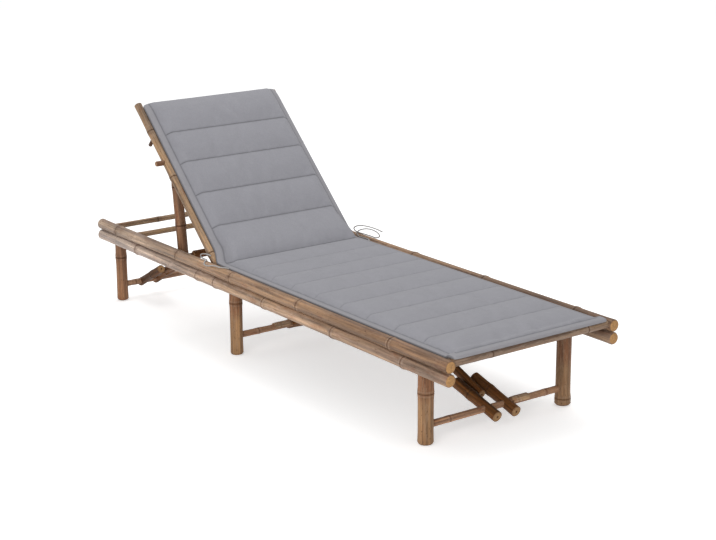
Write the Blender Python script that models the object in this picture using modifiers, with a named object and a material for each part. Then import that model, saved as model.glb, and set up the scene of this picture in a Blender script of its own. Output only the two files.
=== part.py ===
"""Bamboo sun lounger with a folding backrest, folding leg pairs and a channelled cushion.

Units are metres, +Z is up. The lounger lies along Y with its head end at +Y, and a person
lying on it has their right hand at -X. The origin is on the floor under the middle.
Every hinge axis runs along X.
"""
import math

import bmesh
import bpy
from mathutils import Matrix, Vector

# Overall size
LENGTH = 2.0
WIDTH = 0.65
FRAME_HEIGHT = 0.30

# Clearances
GAP = 0.0003
SIDE_CLEARANCE = 0.001

# A drill starts this far outside the face that it bores
DRILL_LEAD = 0.004

# A bamboo node stands this far out of its pole, over this length
NODE_RIDGE = 0.0006
NODE_LENGTH = 0.008

# Side rails, two poles on each side, and the sockets bored in them
RAIL_DIAMETER = 0.038
SOCKET_DEPTH = 0.014

# Legs: they turn on pins at the height of the lower rails' middle
LEG_TOP_ABOVE_PIN = 0.019
LEG_PIN_DIAMETER = 0.010
LEG_PIN_HEAD = 0.004
LEG_FOOT_FLARE = 0.0015
HEAD_LEG_FROM_END = 0.061
MID_LEG_FROM_HINGE = 0.097
FOOT_LEG_FROM_END = 0.164
HEAD_LEG_DIAMETER = 0.041
MID_LEG_DIAMETER = 0.043
FOOT_LEG_DIAMETER = 0.047

# Stretchers between the two legs of a pair, and the split sleeves that lie on them
STRETCHER_DIAMETER = 0.021
STRETCHER_TENON = 0.012
HEAD_STRETCHER_Z = 0.058
MID_STRETCHER_Z = 0.064
FOOT_STRETCHER_Z = 0.056
SLEEVE_LENGTH = 0.062
SLEEVE_WALL = 0.004
FOOT_SLEEVE_X = 0.087
MID_SLEEVE_X = -0.088

# Folding struts: two outer poles hang on the stretcher and a middle link turns on an axle
STRUT_PIN_DIAMETER = 0.008
AXLE_DIAMETER = 0.016
COLLAR_DIAMETER = 0.028
COLLAR_LENGTH = 0.088
HEAD_AXLE_FROM_LEG = 0.390
MID_AXLE_PAST_SEAT_MIDDLE = 0.0975
FOOT_AXLE_PAST_SEAT_MIDDLE = 0.0205
HEAD_STRUT_FROM_RAIL = 0.139
HEAD_STRUT_SPREAD = 0.062
MID_STRUT_SPREAD = 0.070
FOOT_STRUT_SPREAD = 0.072
HEAD_ARM_DIAMETER = 0.030
MID_ARM_DIAMETER = 0.032
FOOT_ARM_DIAMETER = 0.034
HEAD_LINK_DIAMETER = 0.025
MID_LINK_DIAMETER = 0.028
FOOT_LINK_DIAMETER = 0.029
HEAD_ARM_TAIL = 0.022
MID_ARM_TAIL = 0.040
FOOT_ARM_TAIL = 0.050
HEAD_ARM_HEAD = 0.045
MID_ARM_HEAD = 0.040
FOOT_ARM_HEAD = 0.040
HEAD_LINK_TAIL = 0.040
MID_LINK_TAIL = 0.040
FOOT_LINK_TAIL = 0.043
HEAD_ARM_LIFT = math.radians(2.9)
MID_ARM_LIFT = math.radians(-4.0)
FOOT_ARM_LIFT = math.radians(-4.3)

# Cross bars of the frame
CROSS_BAR_DIAMETER = 0.020
CROSS_BAR_TENON = 0.012
FOOT_BAR_DIAMETER = 0.024
FOOT_BAR_FROM_END = 0.018
FOOT_BAR_ABOVE_RAIL = 0.005
HEAD_BAR_OUTER_FROM_END = 0.070
HEAD_BAR_INNER_FROM_END = 0.230
BEARER_BELOW_RAIL = 0.011
FIRST_BEARER_FROM_END = 0.095
MIDDLE_BEARER_FROM_END = 0.560
LAST_BEARER_FROM_HINGE = 0.051

# Seat laths, split bamboo laid on the bearers
SEAT_LATH_WIDTH = 0.034
SEAT_LATH_THICKNESS = 0.007
SEAT_LATH_XS = (-0.200, -0.080, 0.080, 0.200)
SEAT_LATH_OVERHANG = 0.016

# Backrest, set at its steepest
HINGE_FROM_HEAD_END = 0.744
BACK_ANGLE = math.radians(43.2)
BACK_LENGTH = 0.680
BACK_TAIL = 0.022
BACK_RAIL_DIAMETER = 0.027
BACK_BAR_DIAMETER = 0.018
BACK_BAR_TENON = 0.010
BACK_SOCKET_DEPTH = 0.016
HINGE_POLE_DIAMETER = 0.015
PIVOT_POLE_OVERHANG = 0.026
PIVOT_POLE_LEFT_OVERHANG = 0.006
PIVOT_FROM_HINGE = 0.429
TOP_BAR_FROM_HINGE = 0.655
LOWER_BAR_FROM_HINGE = 0.060
BACK_LATH_WIDTH = 0.034
BACK_LATH_THICKNESS = 0.006
BACK_LATH_XS = (-0.165, -0.055, 0.055, 0.165)
BACK_LATH_OVERHANG = 0.012
PEG_DIAMETER = 0.013
PEG_LENGTH = 0.042
PEG_SOCKET_DEPTH = 0.012
PEG_FROM_HINGE = 0.536

# Prop: two poles that hang on the backrest's pivot pole and stand on the head axle
PROP_DIAMETER = 0.037
PROP_SETBACK = 0.019
PROP_TOP_HALF = 0.0125
PROP_FLAT_LENGTH = 0.062
PROP_TOP_ROUND = 0.009
PROP_TOE_BELOW_AXLE = 0.006
PROP_BEVEL = math.radians(45.0)

# Cushion, one long pad that folds at the crease
CUSHION_WIDTH = 0.562
CUSHION_THICKNESS = 0.030
CUSHION_SHIFT = -0.011
CUSHION_EDGE_THICKNESS = 0.009
CUSHION_BORDER = 0.026
CUSHION_FROM_FOOT_END = 0.002
CREASE_FROM_HINGE = 0.074
CUSHION_TOP_FROM_HINGE = 0.668
CUSHION_BEND = 0.170
CUSHION_BACK_NARROWING = 0.015
CUSHION_BACK_SHIFT = 0.0075
CUSHION_TAPER = 0.090
SEAT_CHANNELS = 9
BACK_CHANNELS = 5
CHANNEL_DEPTH = 0.007
CHANNEL_DRAW_IN = 0.003
RAIL_RISE = 0.028
FOOT_RISE = 0.020
RISE_MARGIN = 0.002

# Ties that hold the cushion to the upper rails beside the crease
TIE_DIAMETER = 0.004

# Places along the lounger that follow from the sizes above
FOOT_END_Y = -LENGTH / 2
HEAD_END_Y = LENGTH / 2
HINGE_Y = HEAD_END_Y - HINGE_FROM_HEAD_END
HEAD_LEG_Y = HEAD_END_Y - HEAD_LEG_FROM_END
MID_LEG_Y = HINGE_Y - MID_LEG_FROM_HINGE
FOOT_LEG_Y = FOOT_END_Y + FOOT_LEG_FROM_END
HEAD_AXLE_Y = HEAD_LEG_Y - HEAD_AXLE_FROM_LEG
SEAT_MIDDLE_Y = (FOOT_LEG_Y + MID_LEG_Y) / 2
MID_AXLE_Y = SEAT_MIDDLE_Y + MID_AXLE_PAST_SEAT_MIDDLE
FOOT_AXLE_Y = SEAT_MIDDLE_Y + FOOT_AXLE_PAST_SEAT_MIDDLE
FOOT_BAR_Y = FOOT_END_Y + FOOT_BAR_FROM_END
HEAD_BAR_OUTER_Y = HEAD_END_Y - HEAD_BAR_OUTER_FROM_END
HEAD_BAR_INNER_Y = HEAD_END_Y - HEAD_BAR_INNER_FROM_END
BEARER_YS = (
    FOOT_END_Y + FIRST_BEARER_FROM_END,
    FOOT_END_Y + MIDDLE_BEARER_FROM_END,
    HINGE_Y - LAST_BEARER_FROM_HINGE,
)
CUSHION_FOOT_Y = FOOT_END_Y + CUSHION_FROM_FOOT_END
CUSHION_CREASE_Y = HINGE_Y - CREASE_FROM_HINGE

# Levels that follow from the sizes above
RAIL_RADIUS = RAIL_DIAMETER / 2
RAIL_X = WIDTH / 2 - RAIL_RADIUS
RAIL_INNER_X = RAIL_X - RAIL_RADIUS
HEAD_STRUT_X = HEAD_STRUT_FROM_RAIL - RAIL_INNER_X
UPPER_RAIL_Z = FRAME_HEIGHT - RAIL_RADIUS
LOWER_RAIL_Z = UPPER_RAIL_Z - RAIL_DIAMETER - NODE_RIDGE - GAP
SOCKET_END_X = RAIL_INNER_X + SOCKET_DEPTH
FOOT_BAR_Z = UPPER_RAIL_Z + FOOT_BAR_ABOVE_RAIL
BEARER_Z = UPPER_RAIL_Z - BEARER_BELOW_RAIL
SEAT_LATH_Z = BEARER_Z + CROSS_BAR_DIAMETER / 2 + GAP
SEAT_TOP_Z = SEAT_LATH_Z + SEAT_LATH_THICKNESS + GAP
HINGE = Vector((0.0, HINGE_Y, UPPER_RAIL_Z))
BACK_ALONG = Vector((0.0, math.cos(BACK_ANGLE), math.sin(BACK_ANGLE)))
BACK_NORMAL = Vector((0.0, -math.sin(BACK_ANGLE), math.cos(BACK_ANGLE)))
BACK_RAIL_X = RAIL_INNER_X - SIDE_CLEARANCE - BACK_RAIL_DIAMETER / 2
BACK_INNER_X = BACK_RAIL_X - BACK_RAIL_DIAMETER / 2
BACK_LATH_OFFSET = BACK_BAR_DIAMETER / 2 + GAP
BACK_TOP_OFFSET = BACK_LATH_OFFSET + BACK_LATH_THICKNESS + GAP
PIVOT = HINGE + PIVOT_FROM_HINGE * BACK_ALONG
PROP_X = BACK_INNER_X - SIDE_CLEARANCE - PROP_DIAMETER / 2
PROP_FOOT = Vector((0.0, HEAD_AXLE_Y - PROP_SETBACK, LOWER_RAIL_Z - PROP_TOE_BELOW_AXLE))
ACROSS = Vector((1.0, 0.0, 0.0))
UP = Vector((0.0, 0.0, 1.0))


# Scene and collections

for old in list(bpy.data.objects):
    bpy.data.objects.remove(old, do_unlink=True)

parts = bpy.data.collections.new("bamboo_sun_lounger")
cutters = bpy.data.collections.new("cutters")
bpy.context.scene.collection.children.link(parts)
bpy.context.scene.collection.children.link(cutters)


# Materials

def material(name, colour, roughness):
    """A Principled BSDF material of one colour."""
    made = bpy.data.materials.new(name)
    made.use_nodes = True
    shader = made.node_tree.nodes["Principled BSDF"]
    shader.inputs["Base Color"].default_value = (*colour, 1.0)
    shader.inputs["Roughness"].default_value = roughness
    shader.inputs["Metallic"].default_value = 0.0
    made.diffuse_color = (*colour, 1.0)
    return made


RAIL_BAMBOO = material("weathered_rail_bamboo", (0.42, 0.27, 0.17), 0.55)
LEG_BAMBOO = material("reddish_leg_bamboo", (0.24, 0.12, 0.07), 0.50)
STRUT_BAMBOO = material("dark_strut_bamboo", (0.20, 0.11, 0.06), 0.55)
BACK_BAMBOO = material("pale_back_bamboo", (0.40, 0.28, 0.17), 0.55)
SPLIT_BAMBOO = material("split_bamboo", (0.48, 0.34, 0.20), 0.60)
PIN_WOOD = material("pin_wood", (0.30, 0.19, 0.10), 0.60)
CUSHION_CLOTH = material("grey_cushion_cloth", (0.30, 0.30, 0.32), 0.90)
TIE_CLOTH = material("grey_tie_tape", (0.42, 0.42, 0.42), 0.90)


# Joint axes: an empty at each pivot carries the pieces that turn about it

def pivot_empty(name, place):
    """An empty on a hinge axis."""
    empty = bpy.data.objects.new(name, None)
    empty.location = place
    empty.empty_display_size = 0.05
    parts.objects.link(empty)
    return empty


def adopt(piece, owner):
    """Hang a piece on the empty of its hinge, without moving it."""
    if owner is not None:
        piece.location = piece.location - owner.location
        piece.parent = owner


# Turned poles

def ridge_points(radius, height):
    """The small ridge that a bamboo node makes, from above to below."""
    half = NODE_LENGTH / 2
    return [(radius, height + half), (radius + NODE_RIDGE, height), (radius, height - half)]


def turned(name, start, direction, profile, finish, sides=12, owner=None):
    """A profile of (radius, height) pairs, turned about the line through start."""
    mesh = bpy.data.meshes.new(name)
    edges = [(i, i + 1) for i in range(len(profile) - 1)]
    mesh.from_pydata([(radius, 0.0, height) for radius, height in profile], edges, [])
    mesh.materials.append(finish)
    piece = bpy.data.objects.new(name, mesh)
    parts.objects.link(piece)
    screw = piece.modifiers.new("turn", "SCREW")
    screw.steps = sides
    screw.render_steps = sides
    screw.use_merge_vertices = True
    screw.merge_threshold = 0.00001
    screw.use_smooth_shade = True
    piece.location = start
    piece.rotation_mode = "QUATERNION"
    piece.rotation_quaternion = UP.rotation_difference(direction)
    adopt(piece, owner)
    return piece


def pole(name, start, end, diameter, finish, nodes=(), sides=12, owner=None, flare=0.0):
    """A bamboo pole, with a ridge at each share of its length that nodes gives."""
    start = Vector(start)
    end = Vector(end)
    length = (end - start).length
    radius = diameter / 2
    bevel = 0.08 * radius
    profile = [(0.0, length), (radius - bevel, length), (radius, length - bevel)]
    for share in sorted(nodes, reverse=True):
        profile += ridge_points(radius, share * length)
    profile.append((radius + flare, bevel))
    profile.append((radius + flare - bevel, 0.0))
    profile.append((0.0, 0.0))
    return turned(name, start, end - start, profile, finish, sides, owner)


def tenon_bar(name, y, z, diameter, tenon, shoulder_x, end_x, finish, nodes=(), owner=None):
    """A cross bar, centred on X = 0, whose thinner ends sit in sockets."""
    radius = diameter / 2
    profile = [(0.0, 2 * end_x), (tenon / 2, 2 * end_x)]
    profile.append((tenon / 2, end_x + shoulder_x))
    profile.append((radius, end_x + shoulder_x))
    for share in sorted(nodes, reverse=True):
        profile += ridge_points(radius, end_x + shoulder_x * (2 * share - 1))
    profile.append((radius, end_x - shoulder_x))
    profile.append((tenon / 2, end_x - shoulder_x))
    profile.append((tenon / 2, 0.0))
    profile.append((0.0, 0.0))
    return turned(name, Vector((-end_x, y, z)), ACROSS, profile, finish, 12, owner)


# Cutters

def hole_for(diameter, sides=12):
    """The drill diameter whose flats clear a round pole by the gap on every side."""
    return (diameter + 2 * GAP) / math.cos(math.pi / sides)


def combine(piece, cutter, operation):
    """Take a cutter's shape out of a piece, or join it to the piece."""
    cutters.objects.link(cutter)
    cutter.hide_render = True
    cutter.display_type = "WIRE"
    step = piece.modifiers.new(operation.lower(), "BOOLEAN")
    step.operation = operation
    step.solver = "EXACT"
    step.object = cutter


def aimed(name, shape, centre, direction):
    """A cutter object of a bmesh shape whose Z axis is turned to a direction."""
    mesh = bpy.data.meshes.new(name)
    shape.to_mesh(mesh)
    shape.free()
    cutter = bpy.data.objects.new(name, mesh)
    cutter.location = centre
    cutter.rotation_mode = "QUATERNION"
    cutter.rotation_quaternion = UP.rotation_difference(direction)
    return cutter


def rod(name, start, end, diameter, sides=12):
    """A cutter cylinder along the line from start to end."""
    start = Vector(start)
    end = Vector(end)
    shape = bmesh.new()
    bmesh.ops.create_cone(
        shape,
        cap_ends=True,
        segments=sides,
        radius1=diameter / 2,
        radius2=diameter / 2,
        depth=(end - start).length,
    )
    return aimed(name, shape, (start + end) / 2, end - start)


def drill(piece, start, end, diameter):
    """Cut a round hole along the line from start to end."""
    combine(piece, rod("drill", start, end, diameter), "DIFFERENCE")


def plug(piece, start, end, diameter, sides=12):
    """Glue a round dowel into a piece, so that the two are one solid."""
    combine(piece, rod("dowel", start, end, diameter, sides), "UNION")


def saw(piece, place, normal, size):
    """Cut off all of a piece that lies past the plane through place, on normal's side."""
    normal = Vector(normal).normalized()
    shape = bmesh.new()
    bmesh.ops.create_cube(shape, size=size)
    block = aimed("saw", shape, Vector(place) + normal * size / 2, normal)
    combine(piece, block, "DIFFERENCE")


def bore_across(piece, x_from, x_to, y, z, diameter):
    """Drill along X, for a pole that passes through or sits in the piece."""
    drill(piece, (x_from, y, z), (x_to, y, z), hole_for(diameter))


# Split bamboo

def extruded(name, outline, start, direction, up, length, finish, owner=None):
    """A flat outline of (across, up) pairs, run along a direction for a length."""
    curve = bpy.data.curves.new(name, "CURVE")
    curve.dimensions = "2D"
    curve.fill_mode = "BOTH"
    curve.extrude = length / 2
    spline = curve.splines.new("POLY")
    spline.points.add(len(outline) - 1)
    for point, (across, height) in zip(spline.points, outline):
        point.co = (across, height, 0.0, 1.0)
    spline.use_cyclic_u = True
    curve.materials.append(finish)
    piece = bpy.data.objects.new(name, curve)
    parts.objects.link(piece)
    along = Vector(direction).normalized()
    up = Vector(up).normalized()
    columns = Matrix((up.cross(along), up, along)).transposed()
    piece.location = Vector(start) + along * length / 2
    piece.rotation_mode = "QUATERNION"
    piece.rotation_quaternion = columns.to_quaternion()
    adopt(piece, owner)
    return piece


def lath_outline(width, thickness, steps=6):
    """A low arch over a flat underside, 2 mm thick at its edges."""
    rise = thickness - 0.002
    radius = (width * width / 4 + rise * rise) / (2 * rise)
    half = math.asin(width / 2 / radius)
    outline = [(width / 2, 0.0)]
    for i in range(steps + 1):
        angle = half - 2 * half * i / steps
        outline.append((radius * math.sin(angle), thickness - radius + radius * math.cos(angle)))
    outline.append((-width / 2, 0.0))
    return outline


def half_ring_outline(inner, outer, steps=8):
    """The upper half of a ring."""
    angles = [math.pi * i / steps for i in range(steps + 1)]
    outline = [(outer * math.cos(a), outer * math.sin(a)) for a in angles]
    outline += [(inner * math.cos(a), inner * math.sin(a)) for a in reversed(angles)]
    return outline


# Frame: rails, cross bars, axles and seat laths

def side_rails():
    """The four long poles, and the sockets for all that sits in them."""
    rail_nodes = {
        "right_upper_rail": (0.13, 0.36, 0.55, 0.72, 0.93),
        "right_lower_rail": (0.10, 0.27, 0.455, 0.60, 0.655, 0.86),
        "left_upper_rail": (0.08, 0.29, 0.47, 0.66, 0.88),
        "left_lower_rail": (0.15, 0.34, 0.52, 0.71, 0.90),
    }
    rails = {}
    for name, nodes in rail_nodes.items():
        x = -RAIL_X if name.startswith("right") else RAIL_X
        z = UPPER_RAIL_Z if "upper" in name else LOWER_RAIL_Z
        start = (x, -LENGTH / 2, z)
        end = (x, LENGTH / 2, z)
        rails[name] = pole(name, start, end, RAIL_DIAMETER, RAIL_BAMBOO, nodes, sides=14)
    return rails


def socket_both(rails, level, y, z, diameter):
    """Bore one socket in the right rail and one in the left rail of a level."""
    for side, name in ((-1, "right_"), (1, "left_")):
        inner = side * (RAIL_INNER_X - DRILL_LEAD)
        bore_across(rails[name + level + "_rail"], inner, side * SOCKET_END_X, y, z, diameter)


def rail_bar(rails, level, name, y, z, diameter, tenon, finish, nodes=()):
    """A cross bar between the rails of one level, with its sockets."""
    shoulder = RAIL_INNER_X - NODE_RIDGE - GAP
    end = SOCKET_END_X - GAP
    bar = tenon_bar(name, y, z, diameter, tenon, shoulder, end, finish, nodes)
    socket_both(rails, level, y, z, tenon)
    return bar


def frame_bars(rails):
    """The foot bar, the two head bars and the bearers under the seat laths."""
    size = CROSS_BAR_DIAMETER
    tenon = CROSS_BAR_TENON
    rail_bar(rails, "upper", "foot_bar", FOOT_BAR_Y, FOOT_BAR_Z, FOOT_BAR_DIAMETER, tenon,
             RAIL_BAMBOO, (0.24, 0.86))
    rail_bar(rails, "upper", "head_bar_outer", HEAD_BAR_OUTER_Y, UPPER_RAIL_Z, size, tenon,
             BACK_BAMBOO, (0.30, 0.71))
    rail_bar(rails, "upper", "head_bar_inner", HEAD_BAR_INNER_Y, UPPER_RAIL_Z, size, tenon,
             BACK_BAMBOO, (0.42, 0.80))
    for number, y in enumerate(BEARER_YS, start=1):
        rail_bar(rails, "upper", f"seat_bearer_{number}", y, BEARER_Z, size, tenon,
                 BACK_BAMBOO, (0.5,))


def hinge_pole(rails):
    """The pole that the backrest turns on, held in the upper rails."""
    end = SOCKET_END_X - GAP
    start = (-end, HINGE_Y, UPPER_RAIL_Z)
    pole("hinge_pole", start, (end, HINGE_Y, UPPER_RAIL_Z), HINGE_POLE_DIAMETER, BACK_BAMBOO)
    socket_both(rails, "upper", HINGE_Y, UPPER_RAIL_Z, HINGE_POLE_DIAMETER)


def strut_axle(rails, name, y):
    """The thin pole between the lower rails that a strut's link turns on."""
    end = SOCKET_END_X - GAP
    start = (-end, y, LOWER_RAIL_Z)
    pole(name, start, (end, y, LOWER_RAIL_Z), AXLE_DIAMETER, STRUT_BAMBOO)
    socket_both(rails, "lower", y, LOWER_RAIL_Z, AXLE_DIAMETER)


def seat_laths():
    """Split bamboo along the seat, lying on the bearers."""
    outline = lath_outline(SEAT_LATH_WIDTH, SEAT_LATH_THICKNESS)
    start_y = BEARER_YS[0] - SEAT_LATH_OVERHANG
    length = BEARER_YS[-1] + SEAT_LATH_OVERHANG - start_y
    for number, x in enumerate(SEAT_LATH_XS, start=1):
        extruded(f"seat_lath_{number}", outline, (x, start_y, SEAT_LATH_Z), (0, 1, 0), UP,
                 length, SPLIT_BAMBOO)


# Leg pairs and their folding struts

def strut_sizes(leg_y, axle_y, stretcher_z, lift):
    """The strut's middle pin, for a strut that folds flat under the frame.

    lift is the angle of the outer poles above the line from stretcher to axle.
    The folded strut lies in one line when span = leg + link - outer.
    """
    leg = LOWER_RAIL_Z - stretcher_z
    span = abs(axle_y - leg_y)
    towards = math.copysign(1.0, axle_y - leg_y)
    straight = math.hypot(span, leg)
    rest = span - leg
    outer = (straight ** 2 - rest ** 2) / (2 * (rest + straight * math.cos(lift)))
    slope = math.atan2(leg, span) + lift
    along = Vector((0.0, towards * math.cos(slope), math.sin(slope)))
    pin = Vector((0.0, leg_y, stretcher_z)) + outer * along
    return pin, along


def leg_pair(rails, name, y, diameter, stretcher_z, node, stretcher_nodes, owner):
    """Two legs, their pins in the lower rails and the stretcher between them."""
    radius = diameter / 2
    x = RAIL_INNER_X - SIDE_CLEARANCE - radius
    inner_x = x - radius
    socket_x = inner_x + SOCKET_DEPTH
    top_z = LOWER_RAIL_Z + LEG_TOP_ABOVE_PIN
    pin_inner_x = inner_x - LEG_PIN_HEAD
    pin_outer_x = SOCKET_END_X - GAP
    for side, label in ((-1, "right"), (1, "left")):
        leg = pole(f"{name}_leg_{label}", (side * x, y, 0.0), (side * x, y, top_z), diameter,
                   LEG_BAMBOO, (node,), 14, owner, LEG_FOOT_FLARE)
        bore_across(leg, side * (pin_inner_x - DRILL_LEAD), side * RAIL_X, y, LOWER_RAIL_Z,
                    LEG_PIN_DIAMETER)
        bore_across(leg, side * (inner_x - DRILL_LEAD), side * socket_x, y, stretcher_z,
                    STRETCHER_TENON)
        pole(f"{name}_leg_pin_{label}", (side * pin_inner_x, y, LOWER_RAIL_Z),
             (side * pin_outer_x, y, LOWER_RAIL_Z), LEG_PIN_DIAMETER, PIN_WOOD)
    socket_both(rails, "lower", y, LOWER_RAIL_Z, LEG_PIN_DIAMETER)
    tenon_bar(f"{name}_stretcher", y, stretcher_z, STRETCHER_DIAMETER, STRETCHER_TENON,
              inner_x - GAP, socket_x - GAP, LEG_BAMBOO, stretcher_nodes, owner)


def stretcher_sleeve(name, x, y, stretcher_z, owner):
    """Half a bamboo sleeve lying on a stretcher, which keeps the strut in its place."""
    inner = STRETCHER_DIAMETER / 2 + GAP
    outline = half_ring_outline(inner, inner + SLEEVE_WALL)
    start = (x - SLEEVE_LENGTH / 2, y, stretcher_z)
    extruded(name, outline, start, ACROSS, UP, SLEEVE_LENGTH, SPLIT_BAMBOO, owner)


def strut(name, strut_x, spread, outer_diameter, link_diameter, tail, head, link_tail,
          leg_y, stretcher_z, axle_y, lift):
    """Two outer poles on the stretcher, and the link with its collar and its pin."""
    pin, along = strut_sizes(leg_y, axle_y, stretcher_z, lift)
    stretcher = Vector((0.0, leg_y, stretcher_z))
    axle = Vector((strut_x, axle_y, LOWER_RAIL_Z))
    outer_empty = pivot_empty(f"{name}_strut_pivot", stretcher)
    link_empty = pivot_empty(f"{name}_link_pivot", Vector((0.0, axle_y, LOWER_RAIL_Z)))
    for side, label in ((-1, "right"), (1, "left")):
        x = strut_x + side * spread / 2
        offset = Vector((x, 0.0, 0.0))
        arm = pole(f"{name}_strut_{label}", stretcher + offset - tail * along,
                   pin + offset + head * along, outer_diameter, STRUT_BAMBOO, (0.62,), 12,
                   outer_empty)
        reach = outer_diameter
        bore_across(arm, x - reach, x + reach, leg_y, stretcher_z, STRETCHER_DIAMETER)
    middle = Vector((strut_x, pin.y, pin.z))
    towards = (axle - middle).normalized()
    link = pole(f"{name}_link", middle - link_tail * towards, axle, link_diameter, STRUT_BAMBOO,
                (0.45,), 12, link_empty)
    pin_half = (spread - outer_diameter) / 2 - NODE_RIDGE - GAP
    collar_half = COLLAR_LENGTH / 2
    plug(link, middle - pin_half * ACROSS, middle + pin_half * ACROSS, STRUT_PIN_DIAMETER)
    plug(link, axle - collar_half * ACROSS, axle + collar_half * ACROSS, COLLAR_DIAMETER, 16)
    bore_across(link, strut_x - COLLAR_LENGTH, strut_x + COLLAR_LENGTH, axle_y, LOWER_RAIL_Z,
                AXLE_DIAMETER)


# Backrest

def back_point(x, along, offset):
    """A point of the backrest: x, its distance from the hinge, and its height over the rails."""
    return Vector((x, 0.0, 0.0)) + HINGE + along * BACK_ALONG + offset * BACK_NORMAL


def backrest(owner):
    """The back frame: two rails, three bars and the laths on them."""
    rails = []
    for side, label, nodes in ((-1, "right", (0.10, 0.55, 0.83)), (1, "left", (0.22, 0.64))):
        x = side * BACK_RAIL_X
        rail = pole(f"back_rail_{label}", back_point(x, -BACK_TAIL, 0), back_point(x, BACK_LENGTH, 0),
                    BACK_RAIL_DIAMETER, BACK_BAMBOO, nodes, 12, owner)
        reach = side * BACK_RAIL_DIAMETER
        bore_across(rail, x - reach, x + reach, HINGE.y, HINGE.z, HINGE_POLE_DIAMETER)
        bore_across(rail, x - reach, x + reach, PIVOT.y, PIVOT.z, BACK_BAR_DIAMETER)
        rails.append((side, rail))
    right_end = RAIL_INNER_X + PIVOT_POLE_OVERHANG
    left_end = RAIL_INNER_X + PIVOT_POLE_LEFT_OVERHANG
    pole("prop_pivot_pole", back_point(-right_end, PIVOT_FROM_HINGE, 0),
         back_point(left_end, PIVOT_FROM_HINGE, 0), BACK_BAR_DIAMETER, LEG_BAMBOO, (), 12, owner)
    socket = BACK_INNER_X + BACK_SOCKET_DEPTH
    for name, along in (("back_lower_bar", LOWER_BAR_FROM_HINGE), ("back_top_bar", TOP_BAR_FROM_HINGE)):
        centre = back_point(0, along, 0)
        tenon_bar(name, centre.y, centre.z, BACK_BAR_DIAMETER, BACK_BAR_TENON, BACK_INNER_X - GAP,
                  socket - GAP, BACK_BAMBOO, (), owner)
        for side, rail in rails:
            bore_across(rail, side * (BACK_INNER_X - DRILL_LEAD), side * socket, centre.y, centre.z,
                        BACK_BAR_TENON)
    back_laths(owner)
    stop_peg(rails[0][1], owner)


def back_laths(owner):
    """Split bamboo along the back, lying on the bars."""
    outline = lath_outline(BACK_LATH_WIDTH, BACK_LATH_THICKNESS, 5)
    first = LOWER_BAR_FROM_HINGE - BACK_LATH_OVERHANG
    length = TOP_BAR_FROM_HINGE + BACK_LATH_OVERHANG - first
    for number, x in enumerate(BACK_LATH_XS, start=1):
        extruded(f"back_lath_{number}", outline, back_point(x, first, BACK_LATH_OFFSET), BACK_ALONG,
                 BACK_NORMAL, length, SPLIT_BAMBOO, owner)


def stop_peg(rail, owner):
    """The short peg that stands out of the right back rail's underside."""
    foot = back_point(-BACK_RAIL_X, PEG_FROM_HINGE, -BACK_RAIL_DIAMETER / 2 + PEG_SOCKET_DEPTH)
    tip = foot - PEG_LENGTH * BACK_NORMAL
    pole("back_peg", foot - GAP * BACK_NORMAL, tip, PEG_DIAMETER, LEG_BAMBOO, (), 12, owner)
    drill(rail, foot, tip, hole_for(PEG_DIAMETER))


def prop_poles(owner):
    """The two poles under the backrest, flattened at the pivot and bevelled at the foot."""
    towards = (PROP_FOOT - PIVOT).normalized()
    front = Vector((0.0, towards.z, -towards.y))
    axle = Vector((0.0, HEAD_AXLE_Y, LOWER_RAIL_Z))
    bevel_normal = Vector((0.0, math.sin(PROP_BEVEL), -math.cos(PROP_BEVEL)))
    seat = axle - (AXLE_DIAMETER / 2 + GAP) * bevel_normal
    for side, label in ((-1, "right"), (1, "left")):
        offset = Vector((side * PROP_X, 0.0, 0.0))
        prop = pole(f"prop_{label}", PROP_FOOT + offset, PIVOT + offset - PROP_TOP_HALF * towards,
                    PROP_DIAMETER, LEG_BAMBOO, (0.34, 0.72), 14, owner)
        reach = PROP_DIAMETER
        bore_across(prop, offset.x - reach, offset.x + reach, PIVOT.y, PIVOT.z, BACK_BAR_DIAMETER)
        flatten_top(prop, offset, towards, front)
        saw(prop, seat + offset, bevel_normal, 2 * PROP_DIAMETER)


def flatten_top(prop, offset, towards, front):
    """Plane the side that faces the cushion and round it off over the pivot."""
    depth = PROP_DIAMETER
    block = PIVOT + offset + (PROP_TOP_HALF + depth / 2) * front
    shape = bmesh.new()
    bmesh.ops.create_cube(shape, size=1.0)
    bmesh.ops.scale(shape, vec=Vector((2 * depth, depth, 2 * PROP_FLAT_LENGTH)), verts=shape.verts)
    combine(prop, aimed("plane", shape, block, towards), "DIFFERENCE")
    corner = PIVOT + offset + PROP_TOP_ROUND * (front - towards)
    saw(prop, corner, front - towards, PROP_DIAMETER)


# Cushion

def smooth_step(value):
    """0 below 0, 1 above 1, and a smooth rise between."""
    value = min(max(value, 0.0), 1.0)
    return value * value * (3.0 - 2.0 * value)


def channel_shape(distance, seams):
    """0 on a seam, 1 along the middle of a channel."""
    for low, high in zip(seams, seams[1:]):
        if low <= distance <= high:
            share = (distance - low) / (high - low)
            return math.sqrt(max(0.0, 1.0 - (2.0 * share - 1.0) ** 4))
    return 1.0


def even_seams(first, last, channels):
    """Seam places, evenly spaced."""
    return [first + (last - first) * i / channels for i in range(channels + 1)]


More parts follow.
